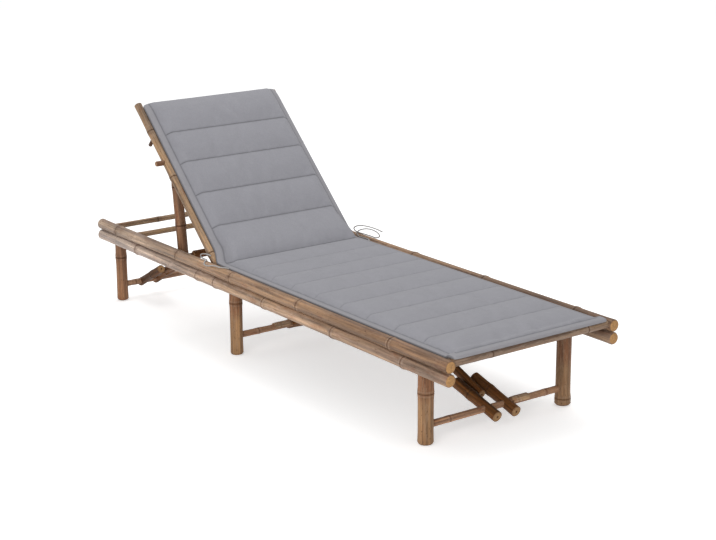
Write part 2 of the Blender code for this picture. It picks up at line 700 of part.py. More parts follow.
def cushion_block(name, length, seams, place, finish, owner):
    """A pad cut from one block at its seams, whose points place() then sets.

    place(along, across, top) gives a point's position for its distance along the pad,
    its distance from the pad's middle line, and whether it is on top.
    """
    half = CUSHION_WIDTH / 2
    shape = bmesh.new()
    bmesh.ops.create_cube(shape, size=1.0)
    bmesh.ops.scale(shape, vec=Vector((CUSHION_WIDTH, length, 1.0)), verts=shape.verts)
    bmesh.ops.translate(shape, vec=Vector((0.0, length / 2, 0.5)), verts=shape.verts)
    along_cuts = []
    for low, high in zip(seams, seams[1:]):
        along_cuts += [low + (high - low) * share for share in (0.0, 0.10, 0.32, 0.68, 0.90)]
    along_cuts.append(seams[-1])
    for along in along_cuts:
        if 0.0001 < along < length - 0.0001:
            slice_at(shape, Vector((0.0, along, 0.0)), Vector((0.0, 1.0, 0.0)))
    for across in (CUSHION_BORDER, 1.6 * CUSHION_BORDER, 0.5 * half):
        for side in (-1, 1):
            slice_at(shape, Vector((side * (half - across), 0.0, 0.0)), ACROSS)
    for vertex in shape.verts:
        x, along, level = vertex.co
        vertex.co = place(along, x, level > 0.5)
    mesh = bpy.data.meshes.new(name)
    shape.to_mesh(mesh)
    shape.free()
    mesh.materials.append(finish)
    mesh.shade_smooth()
    piece = bpy.data.objects.new(name, mesh)
    parts.objects.link(piece)
    adopt(piece, owner)
    return piece


def slice_at(shape, place, normal):
    """Cut a loop of edges where a plane crosses the block."""
    everything = list(shape.verts) + list(shape.edges) + list(shape.faces)
    bmesh.ops.bisect_plane(shape, geom=everything, plane_co=place, plane_no=normal, dist=1e-6)


def pad_thickness(along, seams, edge_distance):
    """How thick the pad is: thin at its border, full in its channels, thinner at a seam."""
    crown = channel_shape(along, seams)
    full = CUSHION_THICKNESS - CHANNEL_DEPTH * (1.0 - crown)
    swell = smooth_step((edge_distance - CUSHION_BORDER) / (0.6 * CUSHION_BORDER))
    return CUSHION_EDGE_THICKNESS + (full - CUSHION_EDGE_THICKNESS) * swell


def drawn_in(along, across, seams):
    """The side edge moves in a little at each seam."""
    pull = CHANNEL_DRAW_IN * (1.0 - channel_shape(along, seams))
    share = abs(across) / (CUSHION_WIDTH / 2)
    return across - math.copysign(pull * share ** 4, across)


def rail_lift(x):
    """How far the pad's underside rises over the deck to lie against an upper rail's inner side."""
    edge = CUSHION_WIDTH / 2 + abs(CUSHION_SHIFT)
    clear = RAIL_RADIUS + NODE_RIDGE + GAP
    across = min(edge, RAIL_X) - RAIL_X
    surface = UPPER_RAIL_Z + math.sqrt(max(0.0, clear * clear - across * across))
    share = min(max((abs(x) - edge + RAIL_RISE) / RAIL_RISE, 0.0), 1.0)
    return max(0.0, surface - SEAT_TOP_Z) * share


def crease_point(x, height, side):
    """A point of the crease's plane, which halves the angle of seat and back."""
    crease_z = SEAT_TOP_Z + CUSHION_THICKNESS - CHANNEL_DEPTH
    y = CUSHION_CREASE_Y + math.tan(BACK_ANGLE / 2) * (crease_z - height)
    return Vector((x, y + side * GAP, height))


def seat_cushion():
    """The seat part, from its foot edge over the foot bar to the crease."""
    length = CUSHION_CREASE_Y - CUSHION_FOOT_Y
    seams = even_seams(CUSHION_BORDER, length, SEAT_CHANNELS)
    foot_bar_top = FOOT_BAR_Z + FOOT_BAR_DIAMETER / 2 + NODE_RIDGE + GAP
    foot_bar_inner = FOOT_BAR_Y + FOOT_BAR_DIAMETER / 2 + RISE_MARGIN

    def place(along, across, top):
        x = CUSHION_SHIFT + drawn_in(along, across, seams)
        y = CUSHION_FOOT_Y + along
        foot_lift = (foot_bar_top - SEAT_TOP_Z) * smooth_step((foot_bar_inner + FOOT_RISE - y) / FOOT_RISE)
        height = SEAT_TOP_Z + max(rail_lift(x), foot_lift)
        if top:
            edge = min(CUSHION_WIDTH / 2 - abs(across), along)
            height += pad_thickness(along, seams, edge)
        if along > length - 0.0001:
            return crease_point(x, height, -1)
        return Vector((x, y, height))

    return cushion_block("seat_cushion", length, seams, place, CUSHION_CLOTH, None)


def back_cushion(owner):
    """The back part, from the crease up the backrest to its top edge."""
    crease_z = SEAT_TOP_Z + CUSHION_THICKNESS - CHANNEL_DEPTH
    crease = Vector((0.0, CUSHION_CREASE_Y, crease_z))
    start = (crease - HINGE).dot(BACK_ALONG)
    length = CUSHION_TOP_FROM_HINGE - start
    seams = even_seams(0.0, length - CUSHION_BORDER, BACK_CHANNELS)
    bend = (crease - HINGE).dot(BACK_NORMAL) - CUSHION_THICKNESS + CHANNEL_DEPTH - BACK_TOP_OFFSET

    def place(along, across, top):
        taper = smooth_step(along / CUSHION_TAPER)
        share = 1.0 - taper * CUSHION_BACK_NARROWING / CUSHION_WIDTH
        shift = CUSHION_SHIFT + taper * (CUSHION_BACK_SHIFT - CUSHION_SHIFT)
        x = shift + share * drawn_in(along, across, seams)
        edge = min(CUSHION_WIDTH / 2 - abs(across), length - along)
        thickness = pad_thickness(along, seams, edge) if top else 0.0
        if along < 0.0001:
            return crease_point(x, SEAT_TOP_Z + rail_lift(x) + thickness, 1)
        distance = start + along
        lift = bend * (1.0 - smooth_step(along / CUSHION_BEND))
        deck = SEAT_TOP_Z + rail_lift(x) - HINGE.z
        over_deck = (deck - distance * BACK_ALONG.z) / BACK_NORMAL.z
        offset = max(BACK_TOP_OFFSET + lift, over_deck) + thickness
        return back_point(x, distance, offset)

    return cushion_block("back_cushion", length, seams, place, CUSHION_CLOTH, owner)


# Ties

def smooth_route(points, steps=5):
    """Points along a smooth curve through the given ones."""
    ends = [2 * points[0] - points[1]] + points + [2 * points[-1] - points[-2]]
    route = []
    for a, b, c, d in zip(ends, ends[1:], ends[2:], ends[3:]):
        for i in range(steps):
            t = i / steps
            bend = (2 * a - 5 * b + 4 * c - d) * t * t + (3 * b - a - 3 * c + d) * t ** 3
            route.append(0.5 * (2 * b + (c - a) * t + bend))
    route.append(points[-1])
    return route


def tie(name, points):
    """A soft round tie along a route of hand-chosen points."""
    route = smooth_route([Vector(point) for point in points])
    curve = bpy.data.curves.new(name, "CURVE")
    curve.dimensions = "3D"
    curve.bevel_depth = TIE_DIAMETER / 2
    curve.bevel_resolution = 2
    curve.use_fill_caps = True
    spline = curve.splines.new("POLY")
    spline.points.add(len(route) - 1)
    for point, place in zip(spline.points, route):
        point.co = (*place, 1.0)
    curve.materials.append(TIE_CLOTH)
    piece = bpy.data.objects.new(name, curve)
    parts.objects.link(piece)
    return piece


def on_rail(side, past_crease, turn):
    """A point of a tie on an upper rail, past the crease, turned in degrees from the top outwards."""
    reach = RAIL_RADIUS + TIE_DIAMETER / 2 + 2 * GAP
    angle = math.radians(turn)
    x = side * (RAIL_X + reach * math.sin(angle))
    z = UPPER_RAIL_Z + reach * math.cos(angle)
    return Vector((x, CUSHION_CREASE_Y + past_crease, z))


def ties():
    """Each tie starts beside the pad's edge, bends round its rail and ends in a low loop.

    Steps on a rail are (distance past the crease, turn in degrees). The others are distances
    from the top of the rail's inner side at the crease.
    """
    right_turns = ((-0.040, -22), (-0.030, -6), (-0.019, 12), (-0.004, 22), (0.013, 24), (0.030, 33),
                   (0.044, 46), (0.055, 53), (0.066, 53), (0.075, 45), (0.081, 28), (0.084, 8),
                   (0.090, -14), (0.108, -30), (0.130, -36))
    right_loop = ((-0.0065, 0.143, 0.0045), (-0.0050, 0.137, 0.0110), (-0.0040, 0.118, 0.0155),
                  (-0.0032, 0.100, 0.0170), (-0.0030, 0.084, 0.0160))
    corner = Vector((-RAIL_INNER_X, CUSHION_CREASE_Y, FRAME_HEIGHT))
    route = [on_rail(-1, past, turn) for past, turn in right_turns]
    tie("right_tie", route + [corner + Vector(step) for step in right_loop])

    corner = Vector((RAIL_INNER_X, CUSHION_CREASE_Y, FRAME_HEIGHT))
    left_start = ((-0.0125, -0.032, -0.0015), (-0.0055, -0.018, -0.0025))
    left_loop = ((0.0055, 0.068, 0.0045), (0.0095, 0.061, 0.0145), (0.0140, 0.043, 0.0225),
                 (0.0180, 0.021, 0.0270), (0.0220, -0.002, 0.0270), (0.0260, -0.022, 0.0220),
                 (0.0290, -0.032, 0.0130), (0.0305, -0.025, 0.0050))
    left_bow = ((0.0185, 0.098, 0.0065), (0.0180, 0.102, 0.0145), (0.0195, 0.090, 0.0230),
                (0.0220, 0.068, 0.0290), (0.0250, 0.040, 0.0320), (0.0285, 0.010, 0.0320),
                (0.0320, -0.017, 0.0300), (0.0350, -0.040, 0.0260))
    route = [corner + Vector(step) for step in left_start]
    route += [on_rail(1, past, turn) for past, turn in ((0.003, -42), (0.033, -44), (0.055, -44))]
    route += [corner + Vector(step) for step in left_loop]
    route += [on_rail(1, past, turn) for past, turn in ((-0.008, 31), (0.018, 24), (0.050, 10), (0.080, 4))]
    tie("left_tie", route + [corner + Vector(step) for step in left_bow])


# The whole lounger

def build():
    rails = side_rails()
    frame_bars(rails)
    hinge_pole(rails)
    for name, y in (("head_axle", HEAD_AXLE_Y), ("mid_axle", MID_AXLE_Y), ("foot_axle", FOOT_AXLE_Y)):
        strut_axle(rails, name, y)
    seat_laths()

    foot_legs = pivot_empty("foot_leg_pivot", Vector((0.0, FOOT_LEG_Y, LOWER_RAIL_Z)))
    leg_pair(rails, "foot", FOOT_LEG_Y, FOOT_LEG_DIAMETER, FOOT_STRETCHER_Z, 0.10, (0.13, 0.89),
             foot_legs)
    stretcher_sleeve("foot_stretcher_sleeve", FOOT_SLEEVE_X, FOOT_LEG_Y, FOOT_STRETCHER_Z, foot_legs)
    strut("foot", 0.0, FOOT_STRUT_SPREAD, FOOT_ARM_DIAMETER, FOOT_LINK_DIAMETER, FOOT_ARM_TAIL,
          FOOT_ARM_HEAD, FOOT_LINK_TAIL, FOOT_LEG_Y, FOOT_STRETCHER_Z, FOOT_AXLE_Y, FOOT_ARM_LIFT)

    mid_legs = pivot_empty("mid_leg_pivot", Vector((0.0, MID_LEG_Y, LOWER_RAIL_Z)))
    leg_pair(rails, "mid", MID_LEG_Y, MID_LEG_DIAMETER, MID_STRETCHER_Z, 0.13, (0.13, 0.89),
             mid_legs)
    stretcher_sleeve("mid_stretcher_sleeve", MID_SLEEVE_X, MID_LEG_Y, MID_STRETCHER_Z, mid_legs)
    strut("mid", 0.0, MID_STRUT_SPREAD, MID_ARM_DIAMETER, MID_LINK_DIAMETER, MID_ARM_TAIL,
          MID_ARM_HEAD, MID_LINK_TAIL, MID_LEG_Y, MID_STRETCHER_Z, MID_AXLE_Y, MID_ARM_LIFT)

    head_legs = pivot_empty("head_leg_pivot", Vector((0.0, HEAD_LEG_Y, LOWER_RAIL_Z)))
    leg_pair(rails, "head", HEAD_LEG_Y, HEAD_LEG_DIAMETER, HEAD_STRETCHER_Z, 0.12, (0.07, 0.81),
             head_legs)
    strut("head", HEAD_STRUT_X, HEAD_STRUT_SPREAD, HEAD_ARM_DIAMETER, HEAD_LINK_DIAMETER,
          HEAD_ARM_TAIL, HEAD_ARM_HEAD, HEAD_LINK_TAIL, HEAD_LEG_Y, HEAD_STRETCHER_Z, HEAD_AXLE_Y,
          HEAD_ARM_LIFT)

    back_empty = pivot_empty("backrest_pivot", HINGE)
    backrest(back_empty)
    prop_empty = pivot_empty("prop_pivot", PIVOT)
    prop_poles(prop_empty)

    seat_cushion()
    back_cushion(back_empty)
    ties()


build()
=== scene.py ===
"""A bamboo sun lounger with a channelled grey cushion, dressed for a studio picture.

Units are metres, +Z is up, the foot end is at -Y and the head end at +Y. Right is the side of
a person's right hand when they lie on the lounger, at -X.
"""
import math

import bpy
from mathutils import Matrix, Vector


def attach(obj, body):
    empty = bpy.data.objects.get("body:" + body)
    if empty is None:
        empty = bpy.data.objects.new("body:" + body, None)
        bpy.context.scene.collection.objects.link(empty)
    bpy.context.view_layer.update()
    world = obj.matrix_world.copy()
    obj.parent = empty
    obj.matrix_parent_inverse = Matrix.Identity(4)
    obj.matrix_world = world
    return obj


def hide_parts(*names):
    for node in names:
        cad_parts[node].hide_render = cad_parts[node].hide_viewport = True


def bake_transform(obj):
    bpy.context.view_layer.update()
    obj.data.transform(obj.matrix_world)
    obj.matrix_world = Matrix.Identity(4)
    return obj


bl_info = {
    "name": "Bamboo sun lounger",
    "version": (1, 0, 0),
    "blender": (4, 5, 0),
    "location": "3D View > Sidebar > Lounger",
    "description": "Builds a bamboo sun lounger with a channelled cushion around its packed frame",
    "category": "Object",
}

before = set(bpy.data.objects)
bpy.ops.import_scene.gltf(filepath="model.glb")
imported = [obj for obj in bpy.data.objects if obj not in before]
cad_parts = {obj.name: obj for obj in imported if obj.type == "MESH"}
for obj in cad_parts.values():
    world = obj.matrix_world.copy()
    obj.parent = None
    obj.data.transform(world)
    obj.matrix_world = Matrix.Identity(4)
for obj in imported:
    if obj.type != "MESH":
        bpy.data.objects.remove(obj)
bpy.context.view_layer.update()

# Sizes that the frame's own source gives too
HALF_LENGTH = 1.0
RAIL_X = 0.306
RAIL_INNER_X = 0.287
RAIL_RADIUS = 0.019
UPPER_RAIL_Z = 0.281
LOWER_RAIL_Z = 0.2421
GAP = 0.0003
SEAT_TOP_Z = 0.2876
HINGE = Vector((0.0, 0.256, UPPER_RAIL_Z))
BACK_ANGLE = math.radians(43.2)
BACK_ALONG = Vector((0.0, math.cos(BACK_ANGLE), math.sin(BACK_ANGLE)))
BACK_NORMAL = Vector((0.0, -math.sin(BACK_ANGLE), math.cos(BACK_ANGLE)))
BACK_TOP_OFFSET = 0.0156
BACK_RAIL_X = 0.2725
BACK_RAIL_RADIUS = 0.0135
BACK_INNER_X = 0.259
PIVOT_FROM_HINGE = 0.429
FRAME_HEIGHT = 0.300
CREASE_Y = 0.182
STRETCHERS = {"foot": (-0.836, 0.056), "mid": (0.159, 0.064), "head": (0.939, 0.058)}
STRETCHER_DIAMETER = 0.021
AXLE_Y = {"foot": -0.318, "mid": -0.241, "head": 0.549}
PIN_DIAMETER = 0.010
PIVOT_BORE = 0.0188
HINGE_BORE = 0.0158
ACROSS = Vector((1.0, 0.0, 0.0))


# Settings that a user would change

def colour_setting(title, description, default):
    return bpy.props.FloatVectorProperty(name=title, description=description, default=default,
                                         subtype="COLOR", size=3, min=0.0, max=1.0)


def number_setting(title, description, default, low, high, unit="LENGTH"):
    return bpy.props.FloatProperty(name=title, description=description, default=default, min=low,
                                   max=high, unit=unit, precision=4)


class BambooSettings(bpy.types.PropertyGroup):
    """Colours and sizes of the canes."""

    rail_colour: colour_setting("Rail colour", "Middle colour of the side rails",
                                (0.275, 0.170, 0.107))
    leg_colour: colour_setting("Leg colour", "Middle colour of the legs and props",
                               (0.262, 0.150, 0.082))
    strut_colour: colour_setting("Strut colour", "Middle colour of the folding struts",
                                 (0.118, 0.046, 0.012))
    back_colour: colour_setting("Back colour", "Middle colour of the back frame and thin cross bars",
                                (0.262, 0.168, 0.102))
    split_colour: colour_setting("Split bamboo colour", "Colour of the laths and sleeves",
                                 (0.380, 0.245, 0.150))
    node_swell: number_setting("Node swell", "How far a node stands out of its cane",
                               0.0009, 0.0, 0.003)
    crookedness: number_setting("Crookedness", "How far a cane's skin strays from a true cylinder",
                                0.0010, 0.0, 0.003)


class CushionSettings(bpy.types.PropertyGroup):
    """Sizes and colour of the pad."""

    cloth_colour: colour_setting("Cloth colour", "Colour of the pad's cloth", (0.275, 0.273, 0.299))
    width: number_setting("Width", "Width of the pad on the seat with its border", 0.575, 0.3, 0.8)
    thickness: number_setting("Thickness", "Thickness of the pad in the middle of a channel",
                              0.030, 0.01, 0.08)
    border: number_setting("Border", "Width of the flat border outside the stitching",
                           0.024, 0.0, 0.06)
    border_thickness: number_setting("Border thickness", "Thickness of the pad at its border",
                                     0.010, 0.003, 0.03)
    channel_depth: number_setting("Channel depth", "How far a sewn seam lies below the pad's crown",
                                  0.007, 0.0, 0.02)


class TieSettings(bpy.types.PropertyGroup):
    """Size and colour of the ties."""

    colour: colour_setting("Tie colour", "Colour of the cotton ties", (0.36, 0.35, 0.34))
    diameter: number_setting("Tie diameter", "Thickness of a rolled tie", 0.004, 0.001, 0.01)


class StageSettings(bpy.types.PropertyGroup):
    """The floor and the light."""

    floor_colour: colour_setting("Floor colour", "Colour of the studio floor", (0.90, 0.90, 0.90))
    sky_level: number_setting("Sky level", "Strength of the even light from all round",
                              0.60, 0.0, 3.0, "NONE")
    lamp_level: number_setting("Lamp level", "Strength of the soft lamp overhead",
                               80.0, 0.0, 2000.0, "NONE")


# Shader maths

class Signal:
    """A number on its way through a material. Sums on it add Math nodes."""

    def __init__(self, finish, socket):
        self.finish = finish
        self.socket = socket

    def math(self, operation, *others):
        made = self.finish.node("Math", {"operation": operation}, dict(enumerate((self, *others))))
        return Signal(self.finish, made.outputs[0])

    def reflected(self, operation, other):
        made = self.finish.node("Math", {"operation": operation}, {0: other, 1: self})
        return Signal(self.finish, made.outputs[0])

    def __add__(self, other):
        return self.math("ADD", other)

    def __radd__(self, other):
        return self.reflected("ADD", other)

    def __sub__(self, other):
        return self.math("SUBTRACT", other)

    def __rsub__(self, other):
        return self.reflected("SUBTRACT", other)

    def __mul__(self, other):
        return self.math("MULTIPLY", other)

    def __rmul__(self, other):
        return self.reflected("MULTIPLY", other)

    def __abs__(self):
        return self.math("ABSOLUTE")

    def least(self, other):
        return self.math("MINIMUM", other)

    def most(self, other):
        return self.math("MAXIMUM", other)

    def ramp(self, low, high, to_low=0.0, to_high=1.0):
        """A smooth rise from to_low to to_high as the number goes from low to high."""
        made = self.finish.node(
            "MapRange", {"interpolation_type": "SMOOTHSTEP"},
            {"Value": self, "From Min": low, "From Max": high, "To Min": to_low, "To Max": to_high})
        return Signal(self.finish, made.outputs["Result"])


class Nodes:
    """A node tree while it is filled."""

    def __init__(self, tree):
        self.tree = tree

    def node(self, kind, settings=None, sockets=None):
        """Add a node, set its settings, then fill or link its sockets."""
        made = self.tree.nodes.new("ShaderNode" + kind)
        for key, value in (settings or {}).items():
            setattr(made, key, value)
        for key, value in (sockets or {}).items():
            self.join(made.inputs[key], value)
        return made

    def join(self, socket, value):
        if isinstance(value, Signal):
            value = value.socket
        if isinstance(value, bpy.types.NodeSocket):
            self.tree.links.new(value, socket)
        elif isinstance(value, (tuple, list)) and len(value) == 3 and socket.type == "RGBA":
            socket.default_value = (*value, 1.0)
        else:
            socket.default_value = value

    def signal(self, node, output):
        return Signal(self, node.outputs[output])

    def show(self, output, seen, plain, shown):
        """Give an output one shader, and another one for the rays that count as seen."""
        both = self.node("MixShader", None, {0: seen, 1: plain.outputs[0], 2: shown.outputs[0]})
        self.join(self.tree.nodes[output].inputs["Surface"], both.outputs[0])


class Finish(Nodes):
    """A material while it is made."""

    def __init__(self, name):
        self.material = bpy.data.materials.new(name)
        self.material.use_nodes = True
        super().__init__(self.material.node_tree)
        self.shader = self.tree.nodes["Principled BSDF"]

    def attribute(self, name, output="Fac"):
        made = self.node("Attribute", {"attribute_type": "GEOMETRY", "attribute_name": name})
        if output == "Vector":
            return made.outputs["Vector"]
        return Signal(self, made.outputs["Fac"])

    def noise(self, vector, stretch, detail=2.0, roughness=0.5):
        """Noise over a vector that is first times one number for each axis."""
        scaled = self.node("VectorMath", {"operation": "MULTIPLY"}, {0: vector, 1: stretch})
        made = self.node(
            "TexNoise", {"noise_dimensions": "3D"},
            {"Vector": scaled.outputs[0], "Scale": 1.0, "Detail": detail, "Roughness": roughness})
        return self.signal(made, "Fac")

    def mix(self, factor, first, second, blend="MIX"):
        """A colour between two colours."""
        made = self.node(
            "Mix", {"data_type": "RGBA", "blend_type": blend, "clamp_factor": True},
            {0: factor, 6: first, 7: second})
        return made.outputs[2]

    def dimmed(self, colour, level):
        """A colour times one number."""
        made = self.node("VectorMath", {"operation": "SCALE"}, {0: colour, "Scale": level})
        return made.outputs[0]

    def bump(self, height, distance, strength=1.0):
        made = self.node("Bump", None, {"Height": height, "Distance": distance, "Strength": strength})
        return made.outputs["Normal"]

    def give(self, **sockets):
        """Fill the shader's sockets, which are written with _ for a space."""
        for name, value in sockets.items():
            self.join(self.shader.inputs[name.replace("_", " ")], value)
        return self.material


def tinted(colour, shares):
    """A colour with each channel times its own share."""
    return tuple(channel * share for channel, share in zip(colour, shares))


def bamboo_finish(name, colour, streak=1.0, patches=1.0, freckle=0.6, ring=0.85, gloss=0.50,
                  scuffs=0.35, standing=False, lying=0.0):
    """Cane skin: long fibres, stain patches, scuffs, freckles, and a dark scar at each node.

    A standing cane is redder at its top and golden below. A lying one is warm at the foot end
    and weathered pale towards the head end.
    """
    finish = Finish(name)
    place = finish.attribute("cane", "Vector")
    tone = finish.attribute("cane_tone")
    node = finish.attribute("from_node")
    end = finish.attribute("from_end")
    height = Signal(finish, finish.node("SeparateXYZ", None, {"Vector": place}).outputs["Z"])
    fibres = finish.noise(place, (700.0, 700.0, 10.0), detail=3.0)
    grain = finish.noise(place, (170.0, 170.0, 4.5), detail=3.0)
    band = finish.noise(place, (60.0, 60.0, 2.6), detail=2.0)
    cloud = finish.noise(place, (42.0, 42.0, 15.0), detail=5.0, roughness=0.65)
    speck = finish.noise(place, (330.0, 330.0, 120.0), detail=2.0)
    scrape = finish.noise(place, (120.0, 120.0, 26.0), detail=4.0, roughness=0.7)
    broad = finish.noise(place, (11.0, 11.0, 5.0), detail=2.0)
    level = 1.0 + (fibres - 0.5) * (1.2 * streak) + (grain - 0.5) * (2.0 * streak)
    level = level * (1.0 + (band - 0.5) * (1.5 * streak)) * (0.84 + tone * 0.30)
    level = level * (1.0 + (broad - 0.5) * 0.9)
    red = tinted(colour, (0.86, 0.62, 0.50))
    gold = tinted(colour, (1.24, 1.20, 1.02))
    pale = tinted(colour, (1.42, 1.62, 1.90))
    dark = tinted(colour, (0.24, 0.17, 0.13))
    skin = finish.mix(band.ramp(0.42, 0.60) * 0.55, colour, gold)
    skin = finish.mix(cloud.ramp(0.52, 0.66) * (0.55 * patches), skin, red)
    worn = scrape.ramp(0.50, 0.58) * cloud.ramp(0.30, 0.52)
    if lying:
        warm = (1.0 - height.ramp(0.15, 1.10)) * lying
        skin = finish.mix(warm, skin, (0.60, 0.57, 0.56), "MULTIPLY")
        skin = finish.mix(height.ramp(1.05, 1.85), skin, (1.24, 1.50, 1.90), "MULTIPLY")
        worn = worn * (height.ramp(0.35, 1.55) * 1.3 + 0.25)
    if standing:
        top = height.ramp(0.105, 0.165)
        skin = finish.mix(top * 0.80, skin, red)
        skin = finish.mix((1.0 - top) * 0.60, skin, gold)
    skin = finish.dimmed(skin, level)
    skin = finish.mix(worn * scuffs, skin, pale)
    specks = (speck - 0.64).ramp(0.0, 0.04) * freckle
    skin = finish.mix(specks, skin, dark)
    wave = (cloud - 0.5) * 0.005 + (grain - 0.5) * 0.0016
    bloom = 1.0 - abs(node - 0.0066).ramp(0.0, 0.0042)
    skin = finish.mix(bloom * 0.42, skin, finish.dimmed(pale, level))
    scar = (1.0 - abs(node + wave).ramp(0.0007, 0.0026)) * ring
    soot = (1.0 - node.ramp(0.0, 0.022)) * (cloud.ramp(0.35, 0.65) * 0.5 + 0.1) * ring
    skin = finish.mix(scar.most(soot), skin, dark)
    # Darker within 10 mm of each end.
    darker_near_ends = (1.0 - end.ramp(0.0, 0.010)) * 0.18
    skin = finish.mix(darker_near_ends, skin, dark)
    rough = (gloss + (grain - 0.5) * 0.3 + worn * 0.25 + scar * 0.3).most(0.22)
    relief = fibres * 0.4 + grain * 0.7 + specks * 0.4 - scar * 1.8 + worn * 0.5
    return finish.give(Base_Color=skin, Roughness=rough, Specular_IOR_Level=0.25,
                       Normal=finish.bump(relief, 0.0006, 0.6))


def end_grain_finish(name, colour, rim):
    """A sawn cane end: pale pores inside a darker rim."""
    finish = Finish(name)
    place = finish.attribute("cane", "Vector")
    reach = finish.attribute("from_axis")
    pores = finish.noise(place, (1500.0, 1500.0, 60.0), detail=2.0)
    cloud = finish.noise(place, (160.0, 160.0, 160.0), detail=3.0)
    level = 1.0 + (pores - 0.5) * 0.7 + (cloud - 0.5) * 1.3
    wood = finish.mix(reach.ramp(0.72, 0.98) * 0.75, colour, rim)
    core = tuple(channel * 0.55 for channel in rim)
    wood = finish.mix((1.0 - reach.ramp(0.05, 0.42)) * 0.45, wood, core)
    wood = finish.dimmed(wood, level)
    return finish.give(Base_Color=wood, Roughness=0.78, Normal=finish.bump(pores, 0.0004, 0.6))


def plain_wood_finish(name, colour):
    """A turned peg: straight fine grain."""
    finish = Finish(name)
    place = finish.attribute("cane", "Vector")
    grain = finish.noise(place, (500.0, 500.0, 40.0), detail=3.0)
    level = 1.0 + (grain - 0.5) * 0.7
    return finish.give(Base_Color=finish.dimmed(colour, level), Roughness=0.55 + grain * 0.2,
                       Normal=finish.bump(grain, 0.0003, 0.5))


def cloth_finish(name, colour, width, border, seams, crease):
    """Plain woven cloth with its stitched seams, whose places are (distance along, darkness of their
    painted shade).

    The crease's line runs further back at the border, as the pad folds there.
    """
    finish = Finish(name)
    pad = finish.attribute("pad", "Vector")
    parts = finish.node("SeparateXYZ", None, {"Vector": pad}).outputs
    across = Signal(finish, parts["X"])
    along = Signal(finish, parts["Y"])
    warp = (across * (math.tau / 0.0012)).math("SINE")
    weft = (along * (math.tau / 0.0012)).math("SINE")
    weave = (warp * weft) * 0.5 + 0.5
    slub = finish.noise(pad, (60.0, 800.0, 300.0), detail=2.0)
    slub_across = finish.noise(pad, (800.0, 60.0, 300.0), detail=2.0)
    mottle = finish.noise(pad, (14.0, 14.0, 14.0), detail=4.0, roughness=0.6)
    level = 1.0 + (weave - 0.5) * 0.10 + (slub - 0.5) * 0.18 + (slub_across - 0.5) * 0.18
    level = level * (1.0 + (mottle - 0.5) * 0.14)
    side = (width / 2 - abs(across)).least(along)
    strip = 1.0 - side.ramp(border * 0.80, border * 1.0)
    pale = tinted(colour, (1.02, 1.00, 0.97))
    cloth = finish.mix(strip * 0.8, colour, pale)
    cloth = finish.dimmed(cloth, level)
    inside = 1.0 - side.ramp(border * 0.9, border)
    edge = abs(side - border)
    # Painted shade along the border's stitching, wide (shade) and narrow (line), and in the loop the same
    # in each seam's groove. The narrow line is partly the stitching itself.
    shade = (1.0 - edge.ramp(0.0, 0.0075)) * 0.75
    line = (1.0 - edge.ramp(0.0008, 0.0024)) * 0.75
    fold = (1.0 - side.ramp(THIN_FROM, THIN_TO)) * FOLD_BACK
    for place, darkness in seams:
        line_place = fold + place if place == crease else place
        beside = abs(along - line_place) + inside * 0.1
        shade = shade.most((1.0 - beside.ramp(0.0, 0.0085)) * darkness)
        line = line.most((1.0 - beside.ramp(0.0008, 0.0026)) * darkness)
    stitches = ((across + along) * (math.tau / 0.0056)).math("SINE").ramp(-0.8, -0.3)
    # Dark colour for the painted shade in the grooves and at the long edges, and for the stitching.
    shade_and_stitch_dark = tuple(channel * 0.34 for channel in colour)
    cloth = finish.mix(shade * 0.24, cloth, shade_and_stitch_dark)
    cloth = finish.mix(line * (0.35 + stitches * 0.35), cloth, shade_and_stitch_dark)
    # Painted shade: a dark rim along the pad's long edges, where they lie against the rails.
    rim = 1.0 - (width / 2 - abs(across)).ramp(0.0008, 0.0042)
    cloth = finish.mix(rim * 0.65, cloth, shade_and_stitch_dark)
    relief = weave * 0.35 + slub * 0.4 + slub_across * 0.4 - line * 2.0
    return finish.give(Base_Color=cloth, Roughness=0.92, Sheen_Weight=0.10,
                       Normal=finish.bump(relief, 0.0004, 0.6))


def tape_finish(name, colour):
    """Soft twisted cotton."""
    finish = Finish(name)
    where = finish.node("TexCoord").outputs["Object"]
    twist = finish.noise(where, (900.0, 900.0, 900.0), detail=2.0)
    broad = finish.noise(where, (120.0, 120.0, 120.0), detail=2.0)
    level = 1.0 + (twist - 0.5) * 0.5 + (broad - 0.5) * 0.3
    return finish.give(Base_Color=finish.dimmed(colour, level), Roughness=0.95, Sheen_Weight=0.2,
                       Normal=finish.bump(twist, 0.0006, 0.8))


